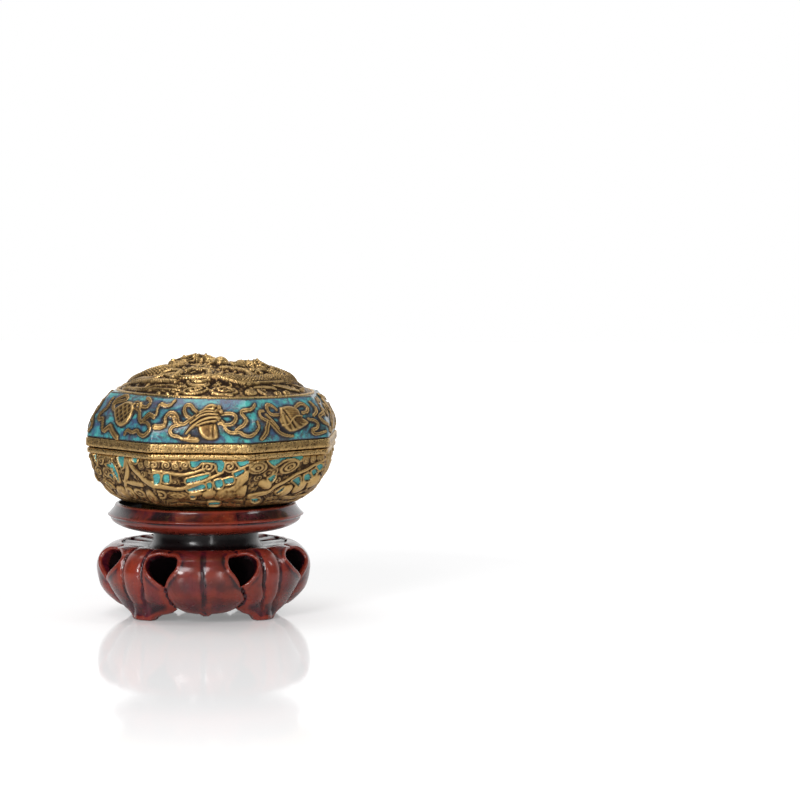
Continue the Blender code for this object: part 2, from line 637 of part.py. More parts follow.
def make_stand_body(material):
    angle = column_angles()
    local = stand_angle(angle)
    crease = crease_depth(local)
    hem = hem_height(local)
    on_leg = np.clip((local - LOBE_HALF_ANGLE) / (math.pi / LOBE_COUNT - LOBE_HALF_ANGLE), 0.0, 1.0)
    ceiling = HOLLOW_HEIGHT

    radius, height = turned_profile()
    rows = [rings(radius, height, np.ones(len(radius)))]
    for share in (0.3, 0.65, 0.9):
        reach = NECK_FOOT_RADIUS + (SHOULDER_RADIUS - NECK_FOOT_RADIUS) * share
        rise = NECK_FOOT_HEIGHT + NECK_DIP * share**0.5 - 0.6 * crease * share
        rows.append(free_row(angle, reach, rise))
    outer, inner = [], []
    for share in 1.0 - np.cos(np.linspace(0.0, math.pi / 2, 22)):
        height = SHOULDER_HEIGHT + (hem - SHOULDER_HEIGHT) * share
        reach = carried_out(body_radius(height) - crease, height, on_leg, FOOT_RADIUS)
        outer.append(free_row(angle, reach, height))
        height = ceiling + (hem - ceiling) * share
        raised = np.minimum(height + 0.6 * BODY_WALL, SHOULDER_HEIGHT - 0.02 * BODY_WALL)
        reach = body_radius(raised) - BODY_WALL - 0.5 * crease
        reach = carried_out(reach, height, on_leg, FOOT_RADIUS - FOOT_DEPTH)
        inner.append(free_row(angle, reach, height))
    rows += outer
    rows += inner[::-1]
    rows.append(rings([0.6 * NECK_RADIUS, POLE_SHARE * NECK_RADIUS], [ceiling, ceiling], [1, 1]))
    points = np.concatenate(rows)[::-1]
    mesh = closed_mesh("stand", points, [0.0, 0.0, ceiling], [0.0, 0.0, LIP_HEIGHT - RECESS_DEPTH])
    return finish_object("stand", mesh, material, STAND_TRIANGLES)


def hole_outline(count=14):
    """A pierced opening, broad and round above and pointed below."""
    points = []
    for index in range(count):
        turn = 2 * math.pi * index / count
        pinch = 0.5 + 0.5 * math.sin(turn)
        wide = 0.5 * HOLE_WIDTH * math.cos(turn) * (0.2 + 0.8 * pinch**0.65)
        points.append((wide, 0.5 * HOLE_HEIGHT * math.sin(turn)))
    return points


def make_cutter(name, outline, depth, stand):
    """A straight cutter, with its end faces alike. The outline and depth are sets of points."""
    count = len(outline)
    vertices = [(start + point).tolist() for start in depth for point in outline]
    faces = [tuple(reversed(range(count))), tuple(range(count, 2 * count))]
    for step in range(count):
        after = (step + 1) % count
        faces.append((step, after, count + after, count + step))
    mesh = bpy.data.meshes.new(name)
    mesh.from_pydata(vertices, [], faces)
    mesh.update()
    cutter = bpy.data.objects.new(name, mesh)
    bpy.context.scene.collection.objects.link(cutter)
    cutter.hide_render = True
    cutter.display_type = "WIRE"
    cutter.parent = stand
    cut = stand.modifiers.new(name, "BOOLEAN")
    cut.operation = "DIFFERENCE"
    cut.solver = "EXACT"
    cut.object = cutter


def pierce(name, angle, stand):
    """Cuts a hole that runs out and up through the body's wall."""
    outward = np.array([math.cos(angle), math.sin(angle), 0.0])
    sideways = np.array([-math.sin(angle), math.cos(angle), 0.0])
    above = np.array([0.0, 0.0, 1.0])
    direction = outward * math.cos(HOLE_TILT) + above * math.sin(HOLE_TILT)
    upward = above * math.cos(HOLE_TILT) - outward * math.sin(HOLE_TILT)
    middle = outward * (BODY_RADIUS - HOLE_INSET) + above * HOLE_CENTRE_HEIGHT
    outline = [sideways * wide + upward * tall for wide, tall in hole_outline()]
    depth = [middle - direction * CUT_INWARD, middle + direction * CUT_OUTWARD]
    make_cutter(name, outline, depth, stand)


def trim_feet(stand):
    """Cuts the feet off flat at the ground."""
    reach = 2.0 * BODY_RADIUS
    corners = ((-reach, -reach), (reach, -reach), (reach, reach), (-reach, reach))
    outline = [np.array([x, y, 0.0]) for x, y in corners]
    depth = [np.array([0.0, 0.0, -10.0 * FOOT_TRIM]), np.zeros(3)]
    make_cutter("ground_cut", outline, depth, stand)


def make_stand(material):
    stand = make_stand_body(material)
    for lobe in range(LOBE_COUNT):
        middle = -math.pi / 2 + 2 * math.pi * lobe / LOBE_COUNT
        pierce(f"hole_{2 * lobe}", middle - HOLE_ANGLE, stand)
        pierce(f"hole_{2 * lobe + 1}", middle + HOLE_ANGLE, stand)
    trim_feet(stand)
    stand.location = (STAND_SHIFT, 0.0, 0.0)
    stand.rotation_euler = (0.0, 0.0, STAND_TURN)


def main():
    clear_scene()
    make_lid(make_material("lid_gilt", GILT, 0.42, 1.0))
    make_base(make_material("base_gilt", GILT_BASE, 0.45, 1.0))
    make_stand(make_material("stand_wood", HARDWOOD, 0.3, 0.0))


main()
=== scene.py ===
# Octagonal seal paste box on its carved stand: finer carving, enamel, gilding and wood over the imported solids.
# Shapes are worked out in millimetres, and rows of places, x and y in turn, are in tenths of a millimetre.
# Meshes, lights and the camera are in metres.
import math

import bpy
import numpy as np
from mathutils import Euler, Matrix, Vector


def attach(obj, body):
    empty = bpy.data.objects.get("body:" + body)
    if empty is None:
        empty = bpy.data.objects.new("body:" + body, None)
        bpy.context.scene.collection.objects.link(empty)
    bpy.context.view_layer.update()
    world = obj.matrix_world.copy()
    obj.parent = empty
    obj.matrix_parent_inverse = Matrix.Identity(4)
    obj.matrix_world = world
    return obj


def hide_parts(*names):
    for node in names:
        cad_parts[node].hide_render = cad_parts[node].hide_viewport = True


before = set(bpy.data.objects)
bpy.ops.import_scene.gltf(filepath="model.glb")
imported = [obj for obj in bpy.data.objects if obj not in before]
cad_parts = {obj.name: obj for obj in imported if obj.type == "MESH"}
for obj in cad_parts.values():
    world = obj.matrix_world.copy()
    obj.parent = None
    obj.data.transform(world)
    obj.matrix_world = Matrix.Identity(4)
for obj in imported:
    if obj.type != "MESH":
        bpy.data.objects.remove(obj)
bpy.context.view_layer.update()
MM = 0.001
FINE = 1.0

# Columns of points round the carved sides, the rims and the plain insides
SIDE_COLUMNS = int(960 * FINE)
RIM_COLUMNS = int(800 * FINE) // 8 * 8
PLAIN_COLUMNS = 240

# Sizes of the solids, repeated here in millimetres
FACES = 8
HALF_FACE = math.pi / FACES
FACE_SPAN = 32.0
AROUND = FACES * FACE_SPAN
SIDE_CORNER = 0.994
RIM_CORNER = 0.992
RIM_RADIUS = 45.0
SEAT = 58.4
RIM_TOP = 61.5
BAND_FOOT = 44.3
BAND_TOP = 36.4
BAND_HEIGHT = 14.7
RING_RADIUS = 33.8
RING_WIDTH = 1.1
DOME_FOOT = RIM_TOP + BAND_HEIGHT
DOME_RISE = 8.6
LEAN = 1.1
LEAN_DROP = 0.018
BORE_RADIUS = 39.2
BASE_RIM_RADIUS = 44.4
BASE_RIM_TOP = 58.05
BASE_RIM_FOOT = 56.05
BASE_RADIUS = 42.9
BASE_FLOOR_RADIUS = 26.0
FLANGE_BORE = BORE_RADIUS - 2.3
UNDERSIDE = 38.4
STAND_SHIFT = -2.4
STAND_TURN = math.radians(7.0)
LIP_HEIGHT = 38.0
DISH_RADIUS = 32.54
DISH_FOOT = 33.3
NECK_RADIUS = 17.9
NECK_TOP = 28.6
BODY_RADIUS = 37.0
SHOULDER_RADIUS = 28.5
SHOULDER_HEIGHT = 24.5
WIDEST_HEIGHT = 16.5
HEM_RADIUS = 24.7
LOBE_HALF = math.radians(22.5)
LEG_MIDDLE = math.radians(45.0)
RIB_ANGLE = math.radians(40.2)
FOOT_RADIUS = 31.6
FOOT_HEIGHT = 6.5
HOLLOW_FOOT_RADIUS = 27.2
HOLLOW_TOP = 10.0
BODY_WALL = 4.0
NECK_SEAT_RADIUS = 19.8
HOLE_ANGLE = math.radians(25.7)
HOLE_TILT = math.radians(28.0)
HOLE_HEIGHT = 20.4
HOLE_DEPTH = 14.0


# Smooth noise from a fixed table of numbers, and curves

TABLE = np.random.default_rng(7).random((64, 64))


def noise(x, y, size, layer=0):
    """Smooth values from 0 to 1 that change over about that size."""
    u, v = x / size + 17.3 * layer, y / size + 5.1 * layer
    i, j = np.floor(u).astype(int), np.floor(v).astype(int)
    s, t = u - i, v - j
    s, t = s * s * (3 - 2 * s), t * t * (3 - 2 * t)
    i, j, k, l = i % 64, j % 64, (i + 1) % 64, (j + 1) % 64
    low = TABLE[i, j] * (1 - s) + TABLE[k, j] * s
    high = TABLE[i, l] * (1 - s) + TABLE[k, l] * s
    return low * (1 - t) + high * t


def step(value, low, high):
    t = np.clip((value - low) / (high - low), 0.0, 1.0)
    return t * t * (3 - 2 * t)


def places(row):
    """Places in millimetres from a row of x and y in tenths of a millimetre."""
    return np.reshape(row, (-1, 2)) / 10


def smooth_path(points, steps):
    knots = np.array([points[0], *points, points[-1]], float)
    pieces = []
    for index in range(1, len(knots) - 2):
        before, start, end, after = knots[index - 1:index + 3]
        t = np.linspace(0.0, 1.0, steps, endpoint=False)[:, None]
        bend = (2 * before - 5 * start + 4 * end - after) * t**2
        twist = (3 * start - before - 3 * end + after) * t**3
        pieces.append(0.5 * (2 * start + (end - before) * t + bend + twist))
    return np.concatenate([*pieces, knots[-1:]])


def soften(grid, reach, wrap=True):
    """A grid of values blurred over about that many cells in each direction."""
    for axis in (0, 1):
        size = max(1, int(3 * reach[axis]))
        weight = np.exp(-0.5 * (np.arange(-size, size + 1) / reach[axis]) ** 2)
        edges = [(size, size) if side == axis else (0, 0) for side in (0, 1)]
        wide = np.pad(grid, edges, mode="wrap" if wrap and axis == 1 else "edge")
        total = np.zeros_like(grid)
        for place, share in enumerate(weight / weight.sum()):
            total += share * np.take(wide, range(place, place + grid.shape[axis]), axis)
        grid = total
    return grid


def to_runs(x, y, start, run, square):
    """Ways from the start of each run to each place, the share of the run nearest to it and how far off that is."""
    dx, dy = x[:, None] - start[None, :, 0], y[:, None] - start[None, :, 1]
    share = np.clip((dx * run[:, 0] + dy * run[:, 1]) / square, 0.0, 1.0)
    return dx, dy, share, np.hypot(dx - share * run[:, 0], dy - share * run[:, 1])


class Relief:
    """Height of a carved pattern over flat places x and y, in millimetres. Dull is how little gilding is left."""

    def __init__(self, x, y):
        self.x, self.y = x, y
        self.height, self.dull = np.zeros_like(x), np.zeros_like(x)

    def seen_from(self, x, y):
        """The same relief, with other places for its points."""
        other = Relief(x, y)
        other.height, other.dull = self.height, self.dull
        return other

    def near(self, path, reach):
        low, high = path.min(axis=0) - reach, path.max(axis=0) + reach
        inside = (self.x > low[0]) & (self.x < high[0]) & (self.y > low[1]) & (self.y < high[1])
        return np.flatnonzero(inside)

    def follow(self, path, reach):
        """Places near the path: their index, distance, side distance, share of the way and length so far."""
        index = self.near(path, reach)
        x, y = self.x[index], self.y[index]
        run = np.diff(path, axis=0)
        length = np.hypot(run[:, 0], run[:, 1]) + 1e-9
        dx, dy, share, away = to_runs(x, y, path[:-1], run, length**2)
        best = np.argmin(away, axis=1)
        rows = np.arange(len(x))
        side = np.sign(run[best, 0] * dy[rows, best] - run[best, 1] * dx[rows, best])
        done = np.concatenate([[0.0], np.cumsum(length)])
        so_far = done[best] + share[rows, best] * length[best]
        away = away[rows, best]
        return index, away, away * side, so_far / done[-1], so_far

    def raise_to(self, index, value, dull=0.0):
        higher = value > self.height[index]
        self.height[index] = np.where(higher, value, self.height[index])
        self.dull[index] = np.where(higher, dull, self.dull[index])

    def form(self, path, widths, rises, grooves=0, depth=0.3, skin=None, dull=0.0, power=0.5):
        """A rounded ridge whose width and height change along a path, with grooves or a skin of scales or ribs."""
        path, widths, rises = np.asarray(path, float), np.atleast_1d(widths), np.atleast_1d(rises)
        index, away, side, share, so_far = self.follow(path, widths.max() / 2)
        half = np.interp(share, np.linspace(0, 1, len(widths)), widths) / 2
        rise = np.interp(share, np.linspace(0, 1, len(rises)), rises)
        t = away / half
        value = rise * np.clip(1.0 - t**2, 0.0, 1.0) ** power
        if grooves:
            value = value * (1.0 - depth * (0.5 + 0.5 * np.cos(math.pi * (grooves * side / half + grooves - 1))))
        if skin == "scales":
            row = side / 0.55
            place = so_far / 1.05 + 0.5 * (np.floor(row) % 2)
            scale = (1.0 - place % 1.0) * (1.0 - (2 * (row % 1.0) - 1.0) ** 2)
            value = value - depth * (1.0 - scale) * (t < 0.97)
        if skin == "ribs":
            value = value * (1.0 - depth * (0.5 + 0.5 * np.cos(2 * math.pi * so_far / 0.75)))
        self.raise_to(index, np.where(t < 1.0, value, 0.0), dull)

    def stroke(self, row, *rest, **more):
        """A form along a smooth path through a row of places."""
        self.form(smooth_path(places(row), 6), *rest, **more)

    def boss(self, centre, size, rise, turn=0.0, power=0.5, rings=0.0, curl=0, depth=0.35, hatch=0.0, dull=0.0):
        """An oval boss. Rings cuts concentric grooves in it, curl makes them a spiral, hatch cuts crossed lines."""
        index = self.near(np.array([centre], float), max(size))
        x, y = self.x[index] - centre[0], self.y[index] - centre[1]
        cos, sin = math.cos(turn), math.sin(turn)
        along, across = (x * cos + y * sin) / size[0], (y * cos - x * sin) / size[1]
        away = np.hypot(along, across)
        value = rise * np.clip(1.0 - away**2, 0.0, 1.0) ** power
        if rings:
            angle = np.arctan2(across, along)
            value = value * (1.0 - depth * (0.5 - 0.5 * np.cos(2 * math.pi * rings * away - curl * angle)))
        if hatch:
            lines = np.cos(2 * math.pi * (x + y) / hatch) * np.cos(2 * math.pi * (x - y) / hatch)
            value = value * (1.0 - depth * (0.5 - 0.5 * lines))
        self.raise_to(index, value, dull)

    def inside_of(self, row, reach=0.0):
        """Places within reach of a closed outline, and how far inside it they are."""
        points = places(row)
        corners = smooth_path([*points, points[0]], 4)[:-1]
        index = self.near(corners, reach)
        x, y = self.x[index], self.y[index]
        ahead = np.roll(corners, -1, axis=0)
        run = ahead - corners
        away = to_runs(x, y, corners, run, (run**2).sum(axis=1) + 1e-12)[3].min(axis=1)
        crosses = (corners[None, :, 1] > y[:, None]) != (ahead[None, :, 1] > y[:, None])
        slope = run[:, 0] / np.where(run[:, 1] == 0, 1e-9, run[:, 1])
        at = corners[None, :, 0] + slope * (y[:, None] - corners[None, :, 1])
        odd = (crosses & (x[:, None] < at)).sum(axis=1) % 2 == 1
        return index, np.where(odd, away, -away)

    def plate(self, row, rise, edge, pattern):
        """A raised form inside a closed outline, rounded at its edge. Pattern(x, y, inside) lowers parts of it."""
        index, inside = self.inside_of(row)
        t = np.clip(inside / edge, 0.0, 1.0)
        value = rise * np.sqrt(1.0 - (1.0 - t) ** 2)
        value = value * (1.0 - pattern(self.x[index], self.y[index], inside))
        self.raise_to(index, np.where(inside > 0, value, 0.0))

    def cell(self, row, level, soft):
        """A sunk cell with a raised wire round it. Returns how far inside it each point is, from 0 to 1."""
        index, inside = self.inside_of(row, 1.0)
        value = step(inside, -soft, soft)
        wire = np.exp(-((inside + 0.32) / 0.24) ** 2)
        edge = np.maximum(self.height[index], 0.72) + 0.16
        self.height[index] = self.height[index] * (1 - wire) + edge * wire
        pool = level + 0.10 * np.clip(inside / 0.8, 0.0, 1.0)
        self.height[index] = self.height[index] * (1 - value) + pool * value
        filled = np.zeros_like(self.height)
        filled[index] = value
        return filled


# Grids of points round the box

def column_angles(columns):
    return -math.pi / 2 + 2 * math.pi * np.arange(columns) / columns


def rings(radius, height, columns, roundness=0.0, blunt=1.0):
    """Rows of points in metres round an octagon, or a circle where roundness is 1, for each radius and height.

    Corners further out than the blunt share of the radius are cut off.
    """
    angle = column_angles(columns)[None, :]
    local = np.mod(angle + HALF_FACE, 2 * HALF_FACE) - HALF_FACE
    octagon = np.minimum(math.cos(HALF_FACE) / np.cos(local), blunt)
    radius, height = np.asarray(radius, float)[:, None], np.asarray(height, float)[:, None]
    reach = radius * ((1.0 - roundness) * octagon + roundness)
    return MM * np.stack([reach * np.cos(angle), reach * np.sin(angle), height + 0.0 * angle], axis=-1)


def face_coordinates(columns):
    """Places along the faces, in millimetres from the middle of the first face, and the face of each."""
    angle = column_angles(columns)
    turn = (angle - angle[0]) / (2 * HALF_FACE)
    face = np.round(turn)
    local = (turn - face) * 2 * HALF_FACE
    return (face + 0.5 * np.tan(local) / math.tan(HALF_FACE)) * FACE_SPAN


def leaned(points):
    """The lid's top, cast a little to one side and lower there."""
    share = np.clip((points[..., 2] / MM - RIM_TOP) / BAND_HEIGHT, 0.0, 1.0)
    points = points.copy()
    points[..., 2] -= LEAN_DROP * share * points[..., 0]
    points[..., 0] += LEAN * MM * share
    return points


def grid_normals(points):
    round_step = np.roll(points, -1, axis=1) - np.roll(points, 1, axis=1)
    normal = np.cross(round_step, np.gradient(points, axis=0))
    return normal / (np.linalg.norm(normal, axis=-1, keepdims=True) + 1e-12)


def pushed(points, height):
    """The grid of points moved outward by a height in millimetres."""
    return points + MM * height[..., None] * grid_normals(points)


def on_faces(along, up, carve):
    """Runs carve(relief, face) for each face. Returns the height, the dullness and what carve returned."""
    height, dull, mask = np.zeros_like(along), np.zeros_like(along), np.zeros_like(along)
    for face in range(FACES):
        offset = np.mod(along - face * FACE_SPAN + AROUND / 2, AROUND) - AROUND / 2
        here = np.abs(offset) < 0.72 * FACE_SPAN
        relief = Relief(offset[here], up[here])
        enamel = carve(relief, face)
        better = relief.height > height[here] if enamel is None else np.abs(offset[here]) <= FACE_SPAN / 2
        height[here] = np.where(better, relief.height, height[here])
        dull[here] = np.where(better, relief.dull, dull[here])
        if enamel is not None:
            mask[here] = np.where(better, enamel, mask[here])
    return height, dull, mask


def cavity(height, spacing, wide, strength, wrap=True):
    """How far each place of a relief lies under the places around it, from -1 on ridges to 1 in hollows."""
    around = soften(height, (wide / spacing[0], wide / spacing[1]), wrap)
    return np.clip((around - height) / strength, -1.0, 1.0)


# Meshes


def add_mesh(name, vertices, quads, material, node, values):
    mesh = bpy.data.meshes.new(name)
    mesh.vertices.add(len(vertices))
    mesh.vertices.foreach_set("co", np.asarray(vertices, np.float32).ravel())
    mesh.loops.add(quads.size)
    mesh.loops.foreach_set("vertex_index", quads.ravel().astype(np.int32))
    mesh.polygons.add(len(quads))
    mesh.polygons.foreach_set("loop_start", 4 * np.arange(len(quads), dtype=np.int32))
    mesh.update(calc_edges=True)
    mesh.validate()
    mesh.shade_smooth()
    mesh.materials.append(material)
    item = bpy.data.objects.new(name, mesh)
    bpy.context.scene.collection.objects.link(item)
    values = dict(values or {})
    # The hollow value, from the mesh's bend and the relief's cavity, drives the materials' painted shade in hollows
    # and painted highlight on ridges, mixed with grime and wear.
    values["hollow"] = np.clip(hollowness(mesh) + 0.9 * np.ravel(values.pop("cavity", 0.0)), -1.0, 1.0)
    for key, value in values.items():
        layer = mesh.attributes.new(key, "FLOAT", "POINT")
        layer.data.foreach_set("value", np.asarray(value, np.float32).ravel())
    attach(item, "root")
    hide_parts(node)


def hollowness(mesh):
    """How hollow the surface is at each point, from -1 on sharp ridges to 1 in creases."""
    count = len(mesh.vertices)
    place, normal = np.empty(count * 3, np.float32), np.empty(count * 3, np.float32)
    mesh.vertices.foreach_get("co", place)
    mesh.vertices.foreach_get("normal", normal)
    edges = np.empty(len(mesh.edges) * 2, np.int32)
    mesh.edges.foreach_get("vertices", edges)
    place, normal, (a, b) = place.reshape(-1, 3), normal.reshape(-1, 3), edges.reshape(-1, 2).T
    degree = np.bincount(np.concatenate([a, b]), minlength=count) + 1e-9

    def average(value):
        return (np.bincount(a, value[b], count) + np.bincount(b, value[a], count)) / degree

    far = place
    for _ in range(5):
        far = np.stack([average(far[:, axis]) for axis in range(3)], axis=-1)
    bend = ((far - place) * normal).sum(axis=1)
    for _ in range(2):
        bend = 0.5 * bend + 0.5 * average(bend)
    return np.clip(bend / (0.09 * MM), -1.0, 1.0)


def ring_piece(name, points, material, node, values=None):
    rows, columns = points.shape[:2]
    index = np.arange(rows * columns).reshape(rows, columns)
    beside = np.roll(index, -1, axis=1)
    quads = np.stack([index[:-1], beside[:-1], beside[1:], index[1:]], axis=-1).reshape(-1, 4)
    add_mesh(name, points.reshape(-1, 3), quads, material, node, values)


# Materials

def new_material(name):
    material = bpy.data.materials.new(name)
    material.use_nodes = True
    return material, material.node_tree, material.node_tree.nodes["Principled BSDF"]


def connect(item, inputs):
    """Links a node's inputs to sockets, or sets plain values on them."""
    for key, value in inputs.items():
        socket = item.inputs[key]
        if isinstance(value, bpy.types.NodeSocket):
            item.id_data.links.new(value, socket)
        else:
            socket.default_value = (*value, 1.0) if socket.type == "RGBA" else value


def put(tree, kind, inputs, output=0, **settings):
    """Adds a node and returns one of its outputs."""
    item = tree.nodes.new(kind)
    for key, value in settings.items():
        setattr(item, key, value)
    connect(item, inputs)
    return item.outputs[output]


def value_of(tree, name):
    return put(tree, "ShaderNodeAttribute", {}, "Fac", attribute_name=name)


def object_place(tree):
    return put(tree, "ShaderNodeTexCoord", {}, "Object")


def cloudy(tree, scale, detail, roughness=0.55, stretch=(1.0, 1.0, 1.0), distortion=0.0):
    place = put(tree, "ShaderNodeMapping", {"Vector": object_place(tree), "Scale": stretch})
    inputs = {"Vector": place, "Scale": scale, "Detail": detail, "Roughness": roughness, "Distortion": distortion}
    return put(tree, "ShaderNodeTexNoise", inputs, "Fac")


def between(tree, value, low, high, out_low=0.0, out_high=1.0):
    inputs = {"Value": value, "From Min": low, "From Max": high, "To Min": out_low, "To Max": out_high}
    return put(tree, "ShaderNodeMapRange", inputs, "Result")


def blend(tree, share, first, second):
    return put(tree, "ShaderNodeMix", {0: share, 6: first, 7: second}, 2, data_type="RGBA")


def layer(tree, colour, value, low, high, share, tint):
    """The colour under a tint that goes up to that share as the value goes from low to high."""
    return blend(tree, between(tree, value, low, high, 0.0, share), colour, tint)


def mean(tree, share, first, second):
    return put(tree, "ShaderNodeMix", {0: share, 2: first, 3: second}, 0, data_type="FLOAT")


def sums(tree, operation, first, second):
    return put(tree, "ShaderNodeMath", {0: first, 1: second}, 0, operation=operation)


def bump(tree, height, strength, distance):
    return put(tree, "ShaderNodeBump", {"Height": height, "Strength": strength, "Distance": distance}, "Normal")


def gilding(tree, light, brown):
    """Colour, metal share, roughness, shine and fine height of aged gilding, with lighter ridges of rubbed gilding
    and painted highlight, and darker hollows of grime and painted shade.
    """
    hollow = value_of(tree, "hollow")
    colour = blend(tree, between(tree, cloudy(tree, 300.0, 4.0), 0.36, 0.62), brown, light)
    colour = layer(tree, colour, cloudy(tree, 90.0, 2.0), 0.48, 0.72, 0.5, (0.30, 0.145, 0.06))
    colour = layer(tree, colour, value_of(tree, "dull"), 0.0, 1.0, 0.85, (0.105, 0.062, 0.036))
    # Lighter gold on ridges: partly rubbed gilding, partly painted highlight.
    colour = layer(tree, colour, hollow, -0.15, -0.9, 0.7, (0.78, 0.52, 0.21))
    # Darker, less metallic and rougher in hollows: partly grime, partly painted shade.
    broken = between(tree, cloudy(tree, 520.0, 3.0), 0.2, 0.6, 0.7, 1.0)
    grime_and_shade = sums(tree, "MULTIPLY", between(tree, hollow, 0.04, 0.55), broken)
    colour = blend(tree, grime_and_shade, colour, (0.026, 0.0135, 0.007))
    metal = between(tree, grime_and_shade, 0.0, 0.9, 0.90, 0.15)
    rough = mean(tree, between(tree, cloudy(tree, 700.0, 2.0), 0.3, 0.7), 0.20, 0.42)
    rough = sums(tree, "ADD", rough, between(tree, grime_and_shade, 0.0, 1.0, 0.0, 0.25))
    return colour, metal, rough, between(tree, metal, 0.15, 0.90, 0.12, 0.5), cloudy(tree, 1900.0, 3.0)


def enamelling(tree, bright, mid, deep, purple, stained):
    patches = between(tree, cloudy(tree, 260.0, 5.0, 0.65, distortion=0.6), 0.40, 0.60)
    colour = blend(tree, patches, bright, mid)
    colour = layer(tree, colour, cloudy(tree, 170.0, 5.0, 0.7, distortion=1.0), 0.47, 0.60, 1.0, deep)
    colour = layer(tree, colour, cloudy(tree, 190.0, 5.0, 0.75, (1, 1, 1.4), 0.8), 0.53, 0.66, 0.9, purple)
    colour = layer(tree, colour, cloudy(tree, 1300.0, 2.0), 0.56, 0.76, 0.7, (0.03, 0.06, 0.11))
    stains = cloudy(tree, 150.0, 6.0, 0.75, distortion=1.2)
    colour = layer(tree, colour, stains, 0.50, 0.60, stained, (0.060, 0.046, 0.060))
    # Enamel darkened where the edge value is high, beside the gold and along the rims: painted shade, broken up by
    # noise.
    broken = between(tree, cloudy(tree, 420.0, 3.0), 0.35, 0.60, 0.55, 1.2)
    edge = sums(tree, "MULTIPLY", value_of(tree, "edge"), broken)
    return layer(tree, colour, edge, 0.04, 0.34, 0.97, (0.024, 0.018, 0.018))


def metal_and_enamel(name, light, brown, stained, *enamels):
    material, tree, shader = new_material(name)
    colour, metal, rough, shine, fine = gilding(tree, light, brown)
    share = value_of(tree, "enamel")
    gloss = between(tree, cloudy(tree, 300.0, 3.0), 0.3, 0.7, 0.06, 0.22)
    connect(shader, {
        "Base Color": blend(tree, share, colour, enamelling(tree, *enamels, stained)),
        "Metallic": mean(tree, share, metal, 0.0),
        "Specular IOR Level": mean(tree, share, shine, 0.5),
        "Roughness": mean(tree, share, sums(tree, "ADD", rough, 0.07), gloss),
        "Normal": bump(tree, mean(tree, share, fine, cloudy(tree, 420.0, 3.0)), 0.7, 0.00013)})
    return material


def metal_only(name, light, brown, punched):
    material, tree, shader = new_material(name)
    colour, metal, rough, shine, fine = gilding(tree, light, brown)
    grain = put(tree, "ShaderNodeTexVoronoi", {"Scale": 1250.0, "Vector": object_place(tree)}, "Distance")
    dots = between(tree, grain, 0.0, 0.55)
    connect(shader, {
        "Base Color": layer(tree, colour, dots, 0.78, 0.30, punched, (0.060, 0.028, 0.013)),
        "Metallic": metal,
        "Specular IOR Level": shine,
        "Roughness": rough,
        "Normal": bump(tree, mean(tree, 0.6, fine, dots), 0.8, 0.00015)})
    return material


def wood(name):
    material, tree, shader = new_material(name)
    hollow, deep = value_of(tree, "hollow"), value_of(tree, "deep")
    grain = cloudy(tree, 130.0, 6.0, 0.65, (1.0, 1.0, 0.35), 0.4)
    fine = cloudy(tree, 900.0, 3.0, 0.6, (1.0, 1.0, 0.22))
    patches = cloudy(tree, 62.0, 4.0, 0.65, (1.0, 1.0, 0.7), 0.5)
    shaded = cloudy(tree, 78.0, 5.0, 0.7, (1.0, 1.0, 0.6), 0.8)
    colour = blend(tree, between(tree, grain, 0.40, 0.60), (0.018, 0.003, 0.007), (0.122, 0.010, 0.024))
    for value, low, high, share, tint in (
            (fine, 0.48, 0.66, 0.75, (0.014, 0.003, 0.006)), (patches, 0.54, 0.66, 0.75, (0.31, 0.034, 0.012)),
            # At the end of the next line: lighter red on ridges, partly worn edges and partly painted highlight.
            (shaded, 0.50, 0.64, 0.90, (0.018, 0.0035, 0.006)), (hollow, -0.10, -0.6, 0.6, (0.38, 0.05, 0.022)),
            # Next line: darker red in creases is painted shade; deep turns the colour near black, painted shade in
            # the pockets and the dish's recess, and darkening on the neck, beside it and on one side of the dish.
            (hollow, 0.30, 1.0, 0.35, (0.020, 0.004, 0.005)), (deep, 0.08, 0.55, 0.97, (0.006, 0.0035, 0.004))):
        colour = layer(tree, colour, value, low, high, share, tint)
    rough = mean(tree, between(tree, cloudy(tree, 200.0, 3.0), 0.3, 0.7), 0.22, 0.38)
    matt = between(tree, deep, 0.86, 0.98)
    polish = between(tree, matt, 0.0, 1.0, 1.0, 0.0)
    connect(shader, {
        "Base Color": colour,
        "Roughness": sums(tree, "ADD", rough, sums(tree, "MULTIPLY", matt, 0.4)),
        "Coat Weight": sums(tree, "MULTIPLY", between(tree, deep, 0.4, 0.84, 1.0, 0.6), polish),
        "Specular IOR Level": between(tree, matt, 0.0, 1.0, 0.12, 0.05),
        "Coat Roughness": between(tree, cloudy(tree, 260.0, 3.0), 0.3, 0.7, 0.08, 0.28),
        "Normal": bump(tree, mean(tree, 0.5, grain, fine), 0.35, 0.00025)})
    return material


GILT = metal_only("aged_gilding", (0.33, 0.200, 0.066), (0.085, 0.042, 0.016), 0.9)
LID_ENAMEL = metal_and_enamel(
    "lid_enamel", (0.36, 0.21, 0.066), (0.11, 0.058, 0.022), 0.85,
    (0.100, 0.52, 0.47), (0.065, 0.27, 0.33), (0.060, 0.120, 0.22), (0.105, 0.085, 0.150))
BASE_ENAMEL = metal_and_enamel(
    "base_enamel", (0.52, 0.31, 0.098), (0.20, 0.105, 0.036), 0.3,
    (0.115, 0.58, 0.49), (0.07, 0.44, 0.40), (0.045, 0.25, 0.30), (0.06, 0.30, 0.36))
DOME_GILT = metal_only("dome_gilding", (0.25, 0.148, 0.052), (0.070, 0.038, 0.016), 0.0)
WOOD = wood("dark_red_wood")


# Lid: the enamelled band. Places are along the face and above its foot.

def ribbons(relief, width, *rows):
    """Grooved ribbons of that width in millimetres, one for each row of places."""
    for row in rows:
        relief.stroke(row, (0.75 * width, width, width, 0.75 * width), 0.70, 1, 0.74, power=0.4)


def leaf_tails(relief, width, *rows):
    for row in rows:
        relief.stroke(row, (0.6 * width, width, 0.9 * width), 0.66, 2, 0.4, power=0.4)


